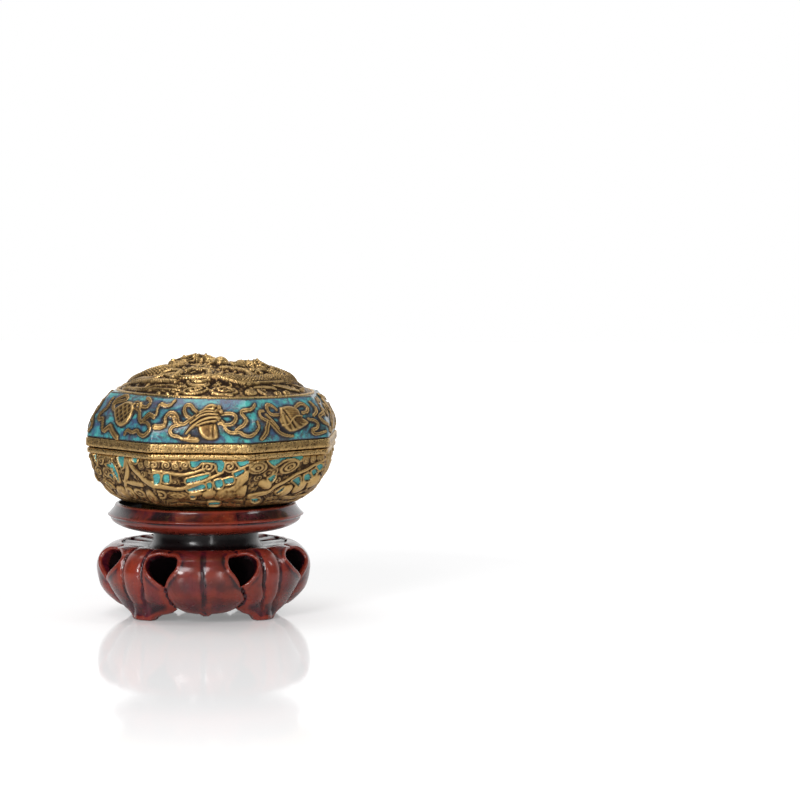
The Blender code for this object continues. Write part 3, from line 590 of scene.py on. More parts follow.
def line(x, y, start, end, wide):
    """Height of a thin straight line from start to end, 1 along it."""
    run = np.array(end, float) - np.array(start, float)
    share = np.clip(((x - start[0]) * run[0] + (y - start[1]) * run[1]) / (run**2).sum(), 0, 1)
    return np.exp(-(((x - start[0] - share * run[0]) ** 2 + (y - start[1] - share * run[1]) ** 2) / wide**2))


def face_fan(relief):
    relief.stroke((58, 82, 33, 81, 3, 72, -21, 57, -34, 45, -43, 33), (2.2, 2.3, 1.5, 0.8), (1.0, 1.05, 0.8), 2, 0.3)
    relief.stroke((56, 91, 27, 92, 2, 86, -18, 73, -31, 65), (1.7, 1.8, 0.8), (1.05, 0.9), 2, 0.3)
    relief.stroke((51, 99, 25, 101, 4, 95, -14, 85), (1.5, 1.6, 0.8), (1.0, 0.9), 2, 0.3)
    relief.stroke((46, 108, 27, 109, 11, 105, -4, 98), (1.4, 1.5, 0.8), (0.95, 0.85), 2, 0.3)
    relief.stroke((52, 118, 37, 120, 22, 115, 12, 109), (1.0, 1.2, 0.7), 0.9)
    tongue = (-8, 58, 19, 66, 51, 71, 60, 35, 57, 19, 35, 12, 13, 19, -1, 35)

    def tongue_pattern(x, y, inside):
        groove, ridge = line(x, y, (4.3, 1.6), (4.5, 6.2), 0.25), line(x, y, (3.6, 2.0), (3.8, 6.0), 0.3)
        return 0.05 * (y - 3.9) + 0.12 * (x - 2.7) + 0.16 * groove - 0.10 * ridge

    relief.plate(tongue, 0.55, 0.9, tongue_pattern)
    relief.stroke((-9, 57, 19, 67, 53, 72), 0.7, 1.1)
    for centre in places((55, 104, 69, 102, 44, 114, 63, 115)):
        relief.boss(centre, (1.0, 0.85), 1.0, rings=1.5, curl=1)
    ribbons(
        relief, 1.15,
        (-136, 56, -114, 62, -115, 82, -106, 96, -90, 96, -77, 84, -69, 67, -52, 63, -34, 75, -10, 92),
        (-27, 79, -46, 88, -57, 106, -53, 120, -38, 121, -24, 109, -6, 95),
        (-63, 59, -86, 55, -94, 41, -86, 28, -69, 24, -54, 17),
        (61, 93, 80, 96, 104, 98, 119, 91, 118, 80, 108, 67, 92, 62, 76, 64, 62, 65),
        (60, 78, 76, 69, 84, 49, 102, 37, 126, 39, 141, 30, 160, 27, 181, 38, 194, 54, 191, 72),
        (114, 38, 120, 49, 142, 62, 152, 76, 148, 89, 139, 100, 149, 109, 170, 112, 185, 118, 197, 127),
        (-209, 63, -189, 78, -171, 89, -158, 84, -151, 96, -154, 113, -146, 124, -126, 119, -109, 123, -99, 136))
    leaf_tails(relief, 1.9, (-114, 56, -130, 53, -146, 54), (-56, 17, -37, 16, -9, 13))
    ribbons(relief, 0.8, (-102, 87, -89, 83, -82, 68, -65, 60))
    leaf_tails(relief, 1.2, (-39, 17, -32, 27))


def face_shell(relief):
    shell = (-19, 112, 28, 115, 57, 102, 58, 78, 81, 61, 71, 50, 27, 34, -4, 32, -32, 52, -37, 76)

    def shell_pattern(x, y, inside):
        upper = step(y - 7.4 + 0.45 * (x - 1.0), -0.2, 0.2)
        hatch = 0.5 - 0.5 * np.cos(2 * math.pi * (x + 0.9 * y) / 1.1) * np.cos(2 * math.pi * (x - 1.1 * y) / 1.1)
        split = line(x, y, (-1.1, 10.1), (0.0, 7.7), 0.28) + line(x, y, (0.0, 7.7), (1.7, 4.5), 0.28)
        curved = 0.5 + 0.5 * np.cos(2 * math.pi * np.hypot(x - 6.0, y - 8.6) / 1.9)
        return 0.34 * hatch * upper * step(inside, 0.5, 0.9) + 0.45 * split + 0.18 * curved * (1 - upper)

    relief.plate(shell, 0.95, 1.5, shell_pattern)
    relief.stroke((58, 79, 36, 80, 12, 70, -6, 56, -30, 54), 0.8, 1.0)
    ribbons(
        relief, 1.15,
        (-36, 105, -50, 119, -67, 123, -76, 113, -71, 95, -53, 89, -30, 89),
        (-94, 104, -112, 103, -111, 85, -87, 72, -73, 62, -57, 45, -43, 32, -20, 22, 11, 17),
        (52, 110, 80, 120, 97, 119, 105, 107, 94, 94, 71, 91),
        (85, 69, 109, 65, 121, 55, 115, 39, 94, 32, 99, 21, 119, 19, 149, 25),
        (136, 126, 143, 111, 138, 94, 116, 80), (176, 118, 166, 90, 140, 76, 156, 54, 180, 46))
    ribbons(relief, 0.9, (-88, 93, -75, 78, -60, 61, -46, 45))
    ribbons(relief, 1.7, (-84, 70, -93, 51, -98, 34, -116, 16))


def face_drum(relief):
    drum = (-50, 88, -40, 101, -12, 118, 14, 120, 40, 112, 54, 88, 44, 58, 16, 44, -10, 51, -30, 69)

    def drum_pattern(x, y, inside):
        lines = np.maximum(np.cos(2 * math.pi * (x + y) / 2.3), np.cos(2 * math.pi * (x - 1.3 * y) / 2.5))
        groove = 0.2 * np.exp(-((inside - 0.45) / 0.15) ** 2)
        return step(inside, 0.85, 1.15) * (0.30 - 0.26 * step(lines, 0.5, 0.9)) + groove

    relief.plate(drum, 0.92, 0.8, drum_pattern)
    for knob in places((57, 113, 69, 117, 76, 109, 37, 112)):
        relief.boss(knob, (0.75, 0.7), 0.95, rings=1.2, curl=1)
    relief.stroke((-67, 27, -52, 36, -40, 40, -28, 28, -11, 15, -2, 9), (1.52, 2.09), (0.5456, 0.62), 1, 0.4)
    ribbons(
        relief, 1.15,
        (-42, 138, -23, 129, -34, 122, -60, 116, -74, 107, -60, 94, -43, 88),
        (-107, 126, -104, 111, -99, 96, -112, 84, -120, 70, -109, 59, -94, 62, -84, 46, -79, 29, -64, 24),
        (33, 120, 55, 119, 86, 110, 109, 112, 115, 125, 99, 135, 82, 137),
        (53, 103, 82, 95, 93, 77, 111, 65, 125, 82, 137, 92, 152, 86, 166, 82),
        (111, 65, 137, 65, 155, 52, 154, 38, 134, 24, 111, 28, 98, 37, 74, 30, 50, 35, 38, 21),
        (-170, 120, -150, 100, -156, 70, -140, 40, -154, 20))
    ribbons(relief, 1.2, (-44, 138, -60, 133, -80, 121, -82, 110))


def face_gourd(relief):
    relief.boss((-0.5, 4.9), (4.2, 3.4), 0.92, 0.3, 0.4, rings=1.6, depth=0.12)
    relief.boss((1.0, 10.2), (2.7, 2.3), 0.92, 0.3, 0.4, rings=1.3, depth=0.15)
    relief.stroke((16, 122, 22, 133, 36, 136), 1.0, 0.8)
    relief.stroke((-16, 77, 4, 83, 24, 79), 1.3, 1.05, 1, 0.35)
    ribbons(
        relief, 1.15,
        (22, 82, 46, 98, 64, 86, 60, 64, 84, 54, 104, 68, 120, 90, 146, 96),
        (24, 76, 44, 54, 48, 30, 72, 18, 96, 28, 124, 24, 144, 44, 136, 64),
        (-18, 82, -40, 104, -64, 102, -74, 80, -98, 74, -116, 92, -140, 98, -154, 80),
        (-16, 74, -46, 60, -66, 40, -54, 18, -86, 16, -108, 32, -134, 24, -150, 44),
        (66, 129, 88, 116, 112, 126, 136, 120), (-60, 132, -88, 122, -110, 130, -136, 122))


EMBLEMS = (face_fan, face_shell, face_gourd, face_drum)


def make_band():
    columns, rows = SIDE_COLUMNS, int(72 * FINE)
    share = np.linspace(0.0, 1.0, rows)
    radius = BAND_FOOT + (BAND_TOP - BAND_FOOT) * share**2
    points = rings(radius, RIM_TOP + share * BAND_HEIGHT, columns, blunt=SIDE_CORNER)
    place = face_coordinates(columns)
    face = np.round(place / FACE_SPAN)
    pillow = 0.5 * (1 - (2 * (place / FACE_SPAN - face)) ** 2)
    points = pushed(points, pillow * np.sin(math.pi * share)[:, None])
    along = (place + LEAN * share[:, None] * np.cos(face * 2 * HALF_FACE)).ravel()
    up = np.repeat(share * BAND_HEIGHT, columns)

    height, _, _ = on_faces(along, up, lambda relief, face: EMBLEMS[face % 4](relief))
    metal = step(height, 0.10, 0.26)
    ground = 0.05 * (noise(along, up, 1.1) - 0.5) + 0.03 * (noise(along, up, 0.45, 1) - 0.5)
    gold_bits = 0.05 * (noise(along, up, 0.5, 2) - 0.5)
    height = np.where(metal > 0.5, height + gold_bits, ground + height * 0.5)
    height, metal = height.reshape(rows, columns), metal.reshape(rows, columns)
    height[[0, -1]] = -0.25
    points = leaned(pushed(points, height))
    # The edge value spreads out from the gold and is raised along the band's foot and top, to paint shade on the
    # enamel beside them.
    wide = 1.7 * soften(metal, (2.6, 2.6))
    # The gold's cavity, for darker hollows (grime and painted shade) and lighter ridges (rubbed gilding and painted
    # highlight).
    sunk = cavity(height, (BAND_HEIGHT / rows, AROUND / columns), 0.7, 0.55) * metal
    frame_shade = np.maximum(step(up, 0.7, 0.1), step(up, BAND_HEIGHT - 0.7, BAND_HEIGHT - 0.1))
    values = {"enamel": 1.0 - metal, "edge": np.maximum(wide.ravel(), 0.75 * frame_shade), "cavity": sunk}
    widest = (RIM_RADIUS * math.cos(HALF_FACE) + 0.05) * MM
    points[..., :2] = np.clip(points[..., :2], -widest, widest)
    ring_piece("lid_band", points, LID_ENAMEL, "lid", values)


# Lid: the dome, with two dragons, a pearl and clouds

# Strokes as (places, widths, heights, grooves, their depth, skin), without the last ones where there are none
SPINE = (-155, -150, -124, -190, -80, -214, -35, -223, 10, -224, 60, -225, 109, -218, 150, -198, 193, -160, 236, -112,
         264, -60, 260, 5, 210, 60, 145, 75, 95, 40, 115, -5)
SPINE_WIDTHS = (1.4, 2.2, 2.6, 3.2, 4.6, 5.6, 5.8, 5.6, 5.2, 4.6, 4.4, 4.2, 4.0, 4.0)
LEGS = (
    (-10, -225, -15, -165, -60, -142), (130, -195, 110, -145, 55, -130),
    (235, -80, 170, -75, 150, -110), (-130, -195, -105, -150, -135, -115),
)
FRONT = (
    ((-20, -223, 11, -226, 37, -236, 66, -248, 95, -252, 118, -248, 153, -227, 197, -192, 234, -146), 0.8, 2.0),
    ((-128, -184, -84, -218, -35, -230, 13, -232), 0.7, 1.9),
    ((-81, -237, -70, -264, -36, -276, -15, -268, -21, -249), (1.2, 1.8, 1.6), (1.5, 1.9, 1.5), 1, 0.4),
    ((-66, -246, -36, -256, -9, -246), 1.4, 1.8, 0, 0, "ribs"),
    ((-202, -54, -176, -43, -135, -50), (1.0, 2.0, 1.2), 1.6, 1, 0.4),
    ((-270, -40, -240, -74, -204, -130, -166, -143, -128, -147), (1.0, 1.8, 1.8, 1.2), 1.7, 1, 0.4),
    ((-293, -40, -281, -71, -257, -96, -221, -140, -186, -176, -151, -204, -122, -224),
     (2.0, 2.8, 2.8, 2.2), 1.9, 0, 0.4, "scales"),
    ((-304, -87, -280, -116, -256, -157, -226, -196, -191, -212, -162, -226, -139, -240, -113, -256),
     (1.3, 1.8, 1.8, 1.2), 1.3, 2, 0.45),
    ((-211, -220, -194, -226, -165, -248, -136, -267, -107, -280), (1.0, 2.0, 2.2, 1.4), 1.35, 2, 0.45),
    ((141, -255, 164, -240, 193, -223, 211, -220), (1.0, 1.6, 1.0), 1.5, 1, 0.4),
    ((152, -263, 164, -269, 175, -273), 1.2, 1.3, 1, 0.4),
    ((203, -197, 229, -183, 258, -168, 287, -144), (1.2, 1.8, 1.2), 1.5, 1, 0.4),
    ((259, -110, 283, -93, 306, -78), (1.2, 1.8, 1.2), 1.4, 1, 0.4),
    ((-3, -311, 22, -319, 66, -316), 0.8, 1.2),
)
# Bosses as (centre, size, height, turn, rings, their depth, hatch)
OVALS = (
    ((-5.6, -29.2), (4.9, 1.9), 1.5, 0.02, 2.4, 0.6, 0), ((4.1, -29.5), (4.6, 1.8), 1.5, 0.04, 2.0, 0.5, 0),
    ((12.8, -28.1), (2.4, 1.6), 1.2, 0.5, 0.0, 0.5, 0.9), ((21.9, -23.9), (1.7, 1.3), 1.3, 0.7, 1.8, 0.6, 0),
    ((24.8, -20.8), (1.8, 1.3), 1.3, 0.8, 1.8, 0.6, 0), ((30.3, -10.3), (2.2, 1.1), 1.1, 1.3, 2.0, 0.6, 0),
    ((-17.9, -26.1), (0.9, 0.8), 1.1, 0.0, 0.0, 0, 0), ((-15.0, -28.0), (0.9, 0.8), 1.1, 0.0, 0.0, 0, 0),
    ((-11.8, -29.6), (0.9, 0.8), 1.1, 0.0, 0.0, 0, 0),
)
# Heads and the pearl as seen from the front, with x to the right and y to the back
HEADS = (
    ((-142, 30, -120, 30, -98, 30, -76, 31, -54, 32, -32, 32, -10, 30, 12, 26),
     (2.6, 3.4, 4.2, 4.8, 5.0, 4.6, 4.2, 3.0), (2.4, 2.7, 3.2, 3.7, 3.75, 3.5, 3.3, 1.8)),
    ((-139, 13, -115, 9, -85, 9, -55, 14), (1.0, 1.4, 1.2), (2.0, 2.3, 2.4)),
    ((-138, 22, -112, 20, -84, 22, -64, 34), (0.7, 0.9, 0.9), (2.9, 3.3, 3.9)),
    ((-86, 20, -70, 16, -52, 22, -46, 36), 0.8, (3.6, 4.0, 3.95)),
    ((-54, 6, -34, 8, -12, 2, 14, -10), (1.2, 1.5, 0.7), (3.0, 3.2, 1.8), 2, 0.45),
    ((-46, 22, -24, 24, -2, 16, 20, 6), (1.2, 1.5, 0.7), (3.7, 3.7, 2.2), 2, 0.45),
    ((-34, 38, -16, 44, 4, 42, 24, 34), (1.3, 1.4, 0.6), (3.95, 3.8, 2.4), 1, 0.4),
    ((-96, 44, -68, 52, -34, 62, -6, 60), (1.0, 1.4, 0.7), (3.2, 3.7, 2.8), 1, 0.4),
    ((92, -24, 112, -25, 132, -25, 152, -25, 172, -26, 192, -28, 212, -30, 230, -32),
     (3.0, 4.2, 4.8, 5.0, 4.6, 4.0, 3.4, 2.6), (1.4, 2.6, 2.9, 3.6, 3.1, 2.5, 2.5, 2.3)),
    ((228, -49, 200, -52, 172, -50, 150, -42), (1.0, 1.4, 1.2), (2.0, 2.2, 2.4)),
    ((226, -39, 196, -42, 170, -38, 156, -26), (0.7, 0.9, 0.9), (2.7, 2.8, 3.7)),
    ((174, -40, 160, -45, 144, -40, 140, -26), 0.8, (3.2, 3.6, 3.8)),
    ((144, -54, 124, -52, 104, -58, 78, -70), (1.2, 1.5, 0.7), (2.8, 2.8, 1.6), 2, 0.45),
    ((136, -38, 116, -36, 94, -42, 70, -50), (1.2, 1.5, 0.7), (3.3, 3.1, 1.8), 2, 0.45),
    ((130, -18, 110, -12, 92, -14, 74, -22), (1.3, 1.4, 0.6), (3.4, 3.0, 1.6), 1, 0.4),
)
# Knobs on the heads as (centre, size, height), and hollows beside them as (x, y, size)
HEAD_KNOBS = (
    ((-13.2, 3.4), (1.1, 1.3), 2.9), ((-9.6, 2.6), (1.0, 0.8), 3.75), ((-6.8, 2.5), (1.0, 0.8), 4.05),
    ((-5.9, 3.8), (1.1, 0.9), 4.05), ((-2.4, 3.4), (0.9, 0.8), 4.0),
    ((22.0, -3.0), (1.1, 1.3), 2.8), ((18.6, -3.2), (1.0, 0.8), 2.9), ((15.9, -3.4), (1.0, 0.8), 3.8),
    ((15.0, -2.2), (1.1, 0.9), 4.0), ((12.2, -2.4), (0.9, 0.8), 3.1),
)
HOLLOWS = ((-11.6, 1.6, 0.8), (-7.4, 1.7, 0.9), (-3.6, 1.7, 1.1), (-1.2, 2.0, 0.9), (19.0, -4.6, 0.8),
           (15.6, -4.6, 0.9), (12.2, -4.7, 1.1), (9.8, -4.6, 0.9))


def dragon(relief):
    relief.stroke(SPINE, SPINE_WIDTHS, (1.5, 2.1, 2.3, 2.35, 2.35, 2.35, 2.3), skin="scales", depth=0.6)
    for leg in LEGS:
        relief.stroke(leg, (3.0, 2.4, 1.6), (2.1, 1.9, 1.6), skin="ribs", depth=0.15)
        ankle, paw = places(leg)[-2:]
        heading = math.atan2(paw[1] - ankle[1], paw[0] - ankle[0])
        for spread in (-0.9, -0.3, 0.3, 0.9):
            turns = ((2.4, heading + spread), (3.1, heading + 1.25 * spread))
            tip, hook = (paw + reach * np.array([math.cos(turn), math.sin(turn)]) for reach, turn in turns)
            relief.form(smooth_path([paw, tip, hook], 6), (1.0, 0.9, 0.4), (1.7, 1.4))


def small_clouds(relief):
    """Small spirals with tails at uneven places, with dark gaps between them."""
    for row in range(-11, 12):
        for column in range(-11, 12):
            one, two = TABLE[row % 64, column % 64], TABLE[column % 64, (row + 31) % 64]
            three = TABLE[(row + 9) % 64, (column + 40) % 64]
            x, y = 2.85 * (column + 0.5 * (row % 2) + 0.7 * (one - 0.5)), 2.6 * (row + 0.7 * (two - 0.5))
            if math.hypot(x, y) > 30.6:
                continue
            size, heading = 0.85 + 0.55 * three, 6.3 * one
            curl, rise = 1 if two > 0.5 else -1, 0.55 + 0.55 * two
            relief.boss((x, y), (size, 0.85 * size), rise, heading, 0.5, 1.5, curl, 0.65)
            end = (x + 2.6 * math.cos(heading), y + 2.0 * math.sin(heading))
            middle = (x + 1.5 * math.cos(heading + 0.6), y + 1.5 * math.sin(heading + 0.6))
            relief.form([(x, y), middle, end], (0.9, 0.7, 0.3), (0.8, 0.4))


def dome_relief(flat_x, flat_y, x, y):
    relief = Relief(flat_x, flat_y)
    small_clouds(relief)
    for index in range(6, 18):
        angle = 2 * math.pi * (index + 0.5) / 18 - 0.6
        centre = (29.9 * math.cos(angle), 29.9 * math.sin(angle))
        rings_cut, curl = ((2.0, 0), (2.4, 1), (3.0, 0))[index % 3]
        if centre[1] > -12:
            relief.boss(centre, (4.2, 1.6), 1.2, angle + math.pi / 2, 0.35, rings=rings_cut, curl=curl, depth=0.55)
    dragon(relief)
    dragon(relief.seen_from(-flat_x, -flat_y))
    for stroke in FRONT:
        relief.stroke(*stroke)
    for centre, size, rise, turn, rings_cut, depth, hatch in OVALS:
        relief.boss(centre, size, rise, turn, 0.35, rings_cut, 0, depth, hatch)
    heads = relief.seen_from(x, y)
    for stroke in HEADS:
        heads.stroke(*stroke)
    for knob in HEAD_KNOBS:
        heads.boss(*knob)
    for hollow_x, hollow_y, size in HOLLOWS:
        heads.height -= 1.5 * np.exp(-((x - hollow_x) ** 2 + (y - hollow_y) ** 2) / size**2)
    heads.height *= 0.25 + 0.75 * step(np.hypot(x - 3.1, y + 4.5), 2.2, 4.6)
    heads.boss((3.4, -4.7), (3.1, 2.8), 3.5)
    for turn in range(2):
        angle = 0.2 + 2.9 * turn
        start = (3.1 + 2.2 * math.cos(angle), -4.5 + 2.2 * math.sin(angle))
        end = (3.1 + 4.4 * math.cos(angle + 0.5), -4.5 + 4.4 * math.sin(angle + 0.5))
        heads.form([start, end], (1.1, 0.4), (2.0, 1.2))
    low = step(heads.height, 1.2, 0.2)
    rough = 0.22 * (noise(x, y, 0.75) - 0.5) * (0.2 + 1.1 * low) + 0.05 * (noise(x, y, 0.33, 1) - 0.5)
    return np.minimum(heads.height + rough, 4.05)


def make_dome():
    """A square sheet of points drawn out to a disc, so that they are evenly spaced."""
    count = int(300 * FINE)
    u, v = np.meshgrid(np.linspace(-1, 1, count), np.linspace(-1, 1, count), indexing="ij")
    wide = np.abs(u) > np.abs(v)
    reach = np.where(wide, u, v)
    safe = np.where(reach == 0, 1.0, reach)
    angle = np.where(wide, (math.pi / 4) * v / safe, math.pi / 2 - (math.pi / 4) * u / safe)
    share = np.abs(reach)
    angle = np.where(reach < 0, angle + math.pi, angle)
    radius = (RING_RADIUS - RING_WIDTH) * share
    x, y = radius * np.cos(angle), radius * np.sin(angle)
    z = DOME_FOOT + DOME_RISE * (1 - share**2.5)
    turn = math.radians(6.0)
    right = x + LEAN
    flat_x, flat_y = right * math.cos(turn) + y * math.sin(turn), y * math.cos(turn) - right * math.sin(turn)
    height = dome_relief(flat_x.ravel(), flat_y.ravel(), right.ravel(), y.ravel()).reshape(x.shape)
    height = height * step(share, 1.0, 0.985) * (1 - 0.40 * step(share, 0.70, 0.92) * np.cos(angle) ** 2)
    spacing = 2 * radius.max() / count
    # The relief's cavity, for darker hollows (grime and painted shade) and lighter ridges (rubbed gilding and painted
    # highlight).
    sunk = cavity(height, (spacing, spacing), 1.1, 0.68, wrap=False)
    slope = DOME_RISE * 2.5 * share**1.5 / (RING_RADIUS - RING_WIDTH)
    flat = 1 / np.sqrt(1 + slope**2)
    out = height * slope * flat
    x, y, z = x + out * np.cos(angle), y + out * np.sin(angle), z + height * flat
    points = leaned(MM * np.stack([x, y, z], axis=-1))
    points[..., 2] = np.minimum(points[..., 2], (88.8 + 0.06 * noise(x, y, 2.0)) * MM)
    index = np.arange(count * count).reshape(count, count)
    quads = np.stack([index[:-1, :-1], index[1:, :-1], index[1:, 1:], index[:-1, 1:]], axis=-1).reshape(-1, 4)
    add_mesh("lid_dome", points.reshape(-1, 3), quads, DOME_GILT, "lid", {"cavity": sunk})


def dented_rim(name, radius, height, worn, layer, node):
    """An octagonal gilt rim of that profile, with small dents in its worn rows."""
    points = rings(radius, height, RIM_COLUMNS, blunt=RIM_CORNER)
    up = np.array(height)[:, None]
    dents = noise(face_coordinates(RIM_COLUMNS)[None, :] + 0 * up, 3 * up, 0.8, layer)
    dents *= np.isin(np.arange(len(up)), worn)[:, None]
    ring_piece(name, pushed(points, -0.10 * dents), GILT, node)


def make_lid_trim():
    wide = RIM_RADIUS - 0.16
    sides = [wide - 0.7, wide - 0.3, wide - 0.06, *[wide] * 4, wide - 0.06, wide - 0.3, wide - 0.65]
    heights = [SEAT + rise for rise in (0.0, 0.0, 0.08, 0.3, 0.6, 1.1, 1.6)]
    heights += [RIM_TOP - drop for drop in (0.5, 0.25, 0.04, 0.0, 0.05)]
    dented_rim("lid_rim", [BORE_RADIUS, *sides, BAND_FOOT - 0.6], heights, range(2, 12), 0, "lid")

    turn = np.linspace(-0.35, 1.15, 12) * math.pi
    middle = RING_RADIUS - RING_WIDTH / 2
    ring = rings(middle + 0.52 * np.cos(turn), DOME_FOOT + 0.50 * np.sin(turn) - 0.02, RIM_COLUMNS, 1.0)
    ring_piece("lid_ring", leaned(ring), GILT, "lid")

    shelf = rings([RING_RADIUS - 0.3], [DOME_FOOT - 0.12], RIM_COLUMNS, 1.0)
    top = rings([BAND_TOP - 0.05], [DOME_FOOT - 0.1], RIM_COLUMNS, 0.0, SIDE_CORNER)
    plate = np.concatenate([top, shelf])
    # The edge value puts a little painted shade over this whole ledge.
    values = {"enamel": np.ones(plate.shape[:2]), "edge": np.full(plate.shape[:2], 0.13)}
    ring_piece("lid_band_top", leaned(plate), LID_ENAMEL, "lid", values)

    inner_top = DOME_FOOT - 3.0
    share = np.linspace(0.02, 1.0, 14)
    ceiling = rings(share * 29.4, inner_top + DOME_RISE * (1 - share**3), PLAIN_COLUMNS, 1.0)
    share = np.linspace(1.0, 0.0, 12)
    wall_height = SEAT + 3.4 + share * (inner_top - SEAT - 3.4)
    band_share = np.clip((wall_height - RIM_TOP) / BAND_HEIGHT, 0.0, 1.0)
    wall_radius = np.minimum(BORE_RADIUS, BAND_FOOT + (BAND_TOP - BAND_FOOT) * band_share**2 - 3.2)
    wall = rings(wall_radius, wall_height, PLAIN_COLUMNS)
    seat = rings([BORE_RADIUS, BORE_RADIUS + 0.02], [SEAT + 0.3, SEAT + 0.02], PLAIN_COLUMNS)
    ring_piece("lid_inside", np.concatenate([ceiling, wall, seat]), GILT, "lid")


# Box: its carved side. Each kind of face has strokes, spirals as (x, y, size, turn, curl), lobes as (x, y, width,
# height, turn, rings), other bosses and the outlines of its enamel cells.
WAVE = (0.7, 1, 0.35, None, 0.3)
FRONT_SIDE = (
    (((-240, 136, -200, 109, -156, 92, -121, 84, -72, 79, -40, 92, 5, 105, 40, 120, 74, 136),
      (2.8, 2.8, 2.4, 1.7, 1.2, 1.2, 1.1, 0.8), 1.0, 1, 0.22),
     ((-165, 142, -107, 135, -73, 128, -37, 131, -3, 141, 16, 149), (1.9, 1.9, 1.6, 1.2), 0.85, 2, 0.3, None, 0.4),
     ((178, 128, 160, 132, 140, 116, 124, 88, 94, 74), (2.0, 3.6, 3.8, 3.0, 2.0), 1.1, 1, 0.12),
     ((-140, 34, -70, 39, 0, 29, 80, 39, 160, 34), 1.2, *WAVE),
     ((-140, 18, -70, 22, 0, 14, 80, 22, 160, 18), 1.2, *WAVE)),
    ((-15.2, 15.9, 2.3, 0.2, 1), (-11.0, 15.9, 2.1, 0.2, 1), (-8.0, 15.7, 1.7, 0.2, 1), (-5.0, 16.0, 1.9, 0.2, 1),
     (2.6, 15.4, 2.7, 0.2, 1), (9.6, 15.6, 2.6, 0.2, 1), (13.6, 15.2, 1.6, 0.2, 1)),
    ((9.2, 6.2, 5.2, 2.6, 0.15, 0.0), (14.2, 7.2, 2.8, 2.6, 0.4, 0.0), (2.8, 6.2, 3.0, 1.8, 0.2, 0.0),
     (-2.0, 6.3, 2.8, 1.0, 0.05, 0.0), (-20.6, 4.4, 3.4, 3.0, 0.4, 1.7)),
    (((-9.6, 10.4), (2.7, 1.3), 0.7, 0.0, 0.4, 2.4, -1, 0.5, 0.0, 0.6),
     ((-8.8, 5.6), (5.2, 1.7), 0.85, -0.05, 0.4, 2.5, 0, 0.25, 0.0, 0.3),
     ((-15.0, 5.6), (3.3, 2.2), 0.95, 0.2, 0.4, 1.8, 1, 0.4, 0.0, 0.5)),
    ((-156, 128, -135, 128, -142, 99, -162, 99), (-122, 126, -104, 128, -108, 102, -128, 104),
     (-32, 172, 71, 175, 72, 141, 58, 141, 54, 162, 36, 169, 6, 169, -6, 158, -20, 151, -29, 156),
     (119, 172, 160, 174, 153, 164, 131, 156), (110, 133, 139, 145, 143, 138, 119, 122),
     (-47, 112, -5, 122, 29, 129, 19, 117, -8, 107, -46, 99), (-50, 76, -16, 88, 6, 95, 15, 89, 9, 80, -37, 71),
     (21, 98, 33, 102, 38, 94, 36, 82, 24, 81), (47, 106, 71, 111, 74, 88, 54, 84),
     (78, 111, 107, 118, 110, 103, 86, 97), (-41, 55, -25, 56, -28, 48, -42, 47), (26, 31, 69, 32, 64, 22, 26, 20)))
RIGHT_SIDE = (
    (((-142, 52, -100, 58, -60, 63, -33, 82, 4, 96, 43, 117, 84, 129, 120, 146, 156, 158),
      (1.9, 1.9, 1.4, 1.1, 1.1, 0.9), 1.0, 1, 0.3),
     ((-40, 36, 20, 40, 90, 32, 160, 40), 1.3, *WAVE), ((-40, 18, 20, 22, 90, 14, 160, 22), 1.3, *WAVE)),
    ((7.7, 16.2, 1.7, 0.2, 1), (10.9, 16.4, 1.7, 0.2, 1), (13.8, 16.6, 1.7, 0.2, 1)),
    ((-8.4, 9.2, 3.6, 1.8, -0.3, 0.0), (2.6, 6.2, 3.1, 2.3, 0.35, 0.0), (8.4, 7.2, 3.1, 2.3, 0.35, 0.0),
     (13.6, 8.8, 3.1, 2.3, 0.35, 0.0), (-10.0, 2.9, 5.0, 1.7, -0.1, 2.0)),
    (((-12.8, 15.0), (4.6, 2.3), 1.0, 0.05, 0.4, 2.4, 0, 0.35, 0.0, 0.5),
     ((0.9, 14.5), (5.6, 2.5), 1.05, 0.28, 0.35, 3.0, 0, 0.35, 0.0, 0.5),
     ((-5.4, 13.2), (2.0, 1.4), 0.8, 0.3, 0.4, 1.5, 1, 0.4, 0.0, 0.6),
     ((-12.0, 11.6), (3.0, 1.6), 0.7, 0.2, 0.4, 2.6, -1, 0.5, 0.0, 0.8),
     ((-3.2, 10.0), (1.7, 1.2), 0.7, 0.3, 0.4, 1.4, 1, 0.5, 0.0, 0.6)),
    ((-83, 170, -14, 175, 62, 177, 54, 164, 24, 173, -16, 169, -54, 152),
     (-78, 111, -53, 122, -47, 112, -58, 99), (-17, 59, 7, 76, 9, 67, -5, 55),
     (35, 97, 56, 108, 70, 100, 77, 78, 55, 87), (83, 110, 98, 116, 117, 102, 110, 92, 92, 95),
     (109, 124, 125, 129, 137, 118, 126, 108), (127, 140, 144, 145, 156, 135, 145, 124),
     (-127, 43, -89, 42, -84, 32, -111, 34)))
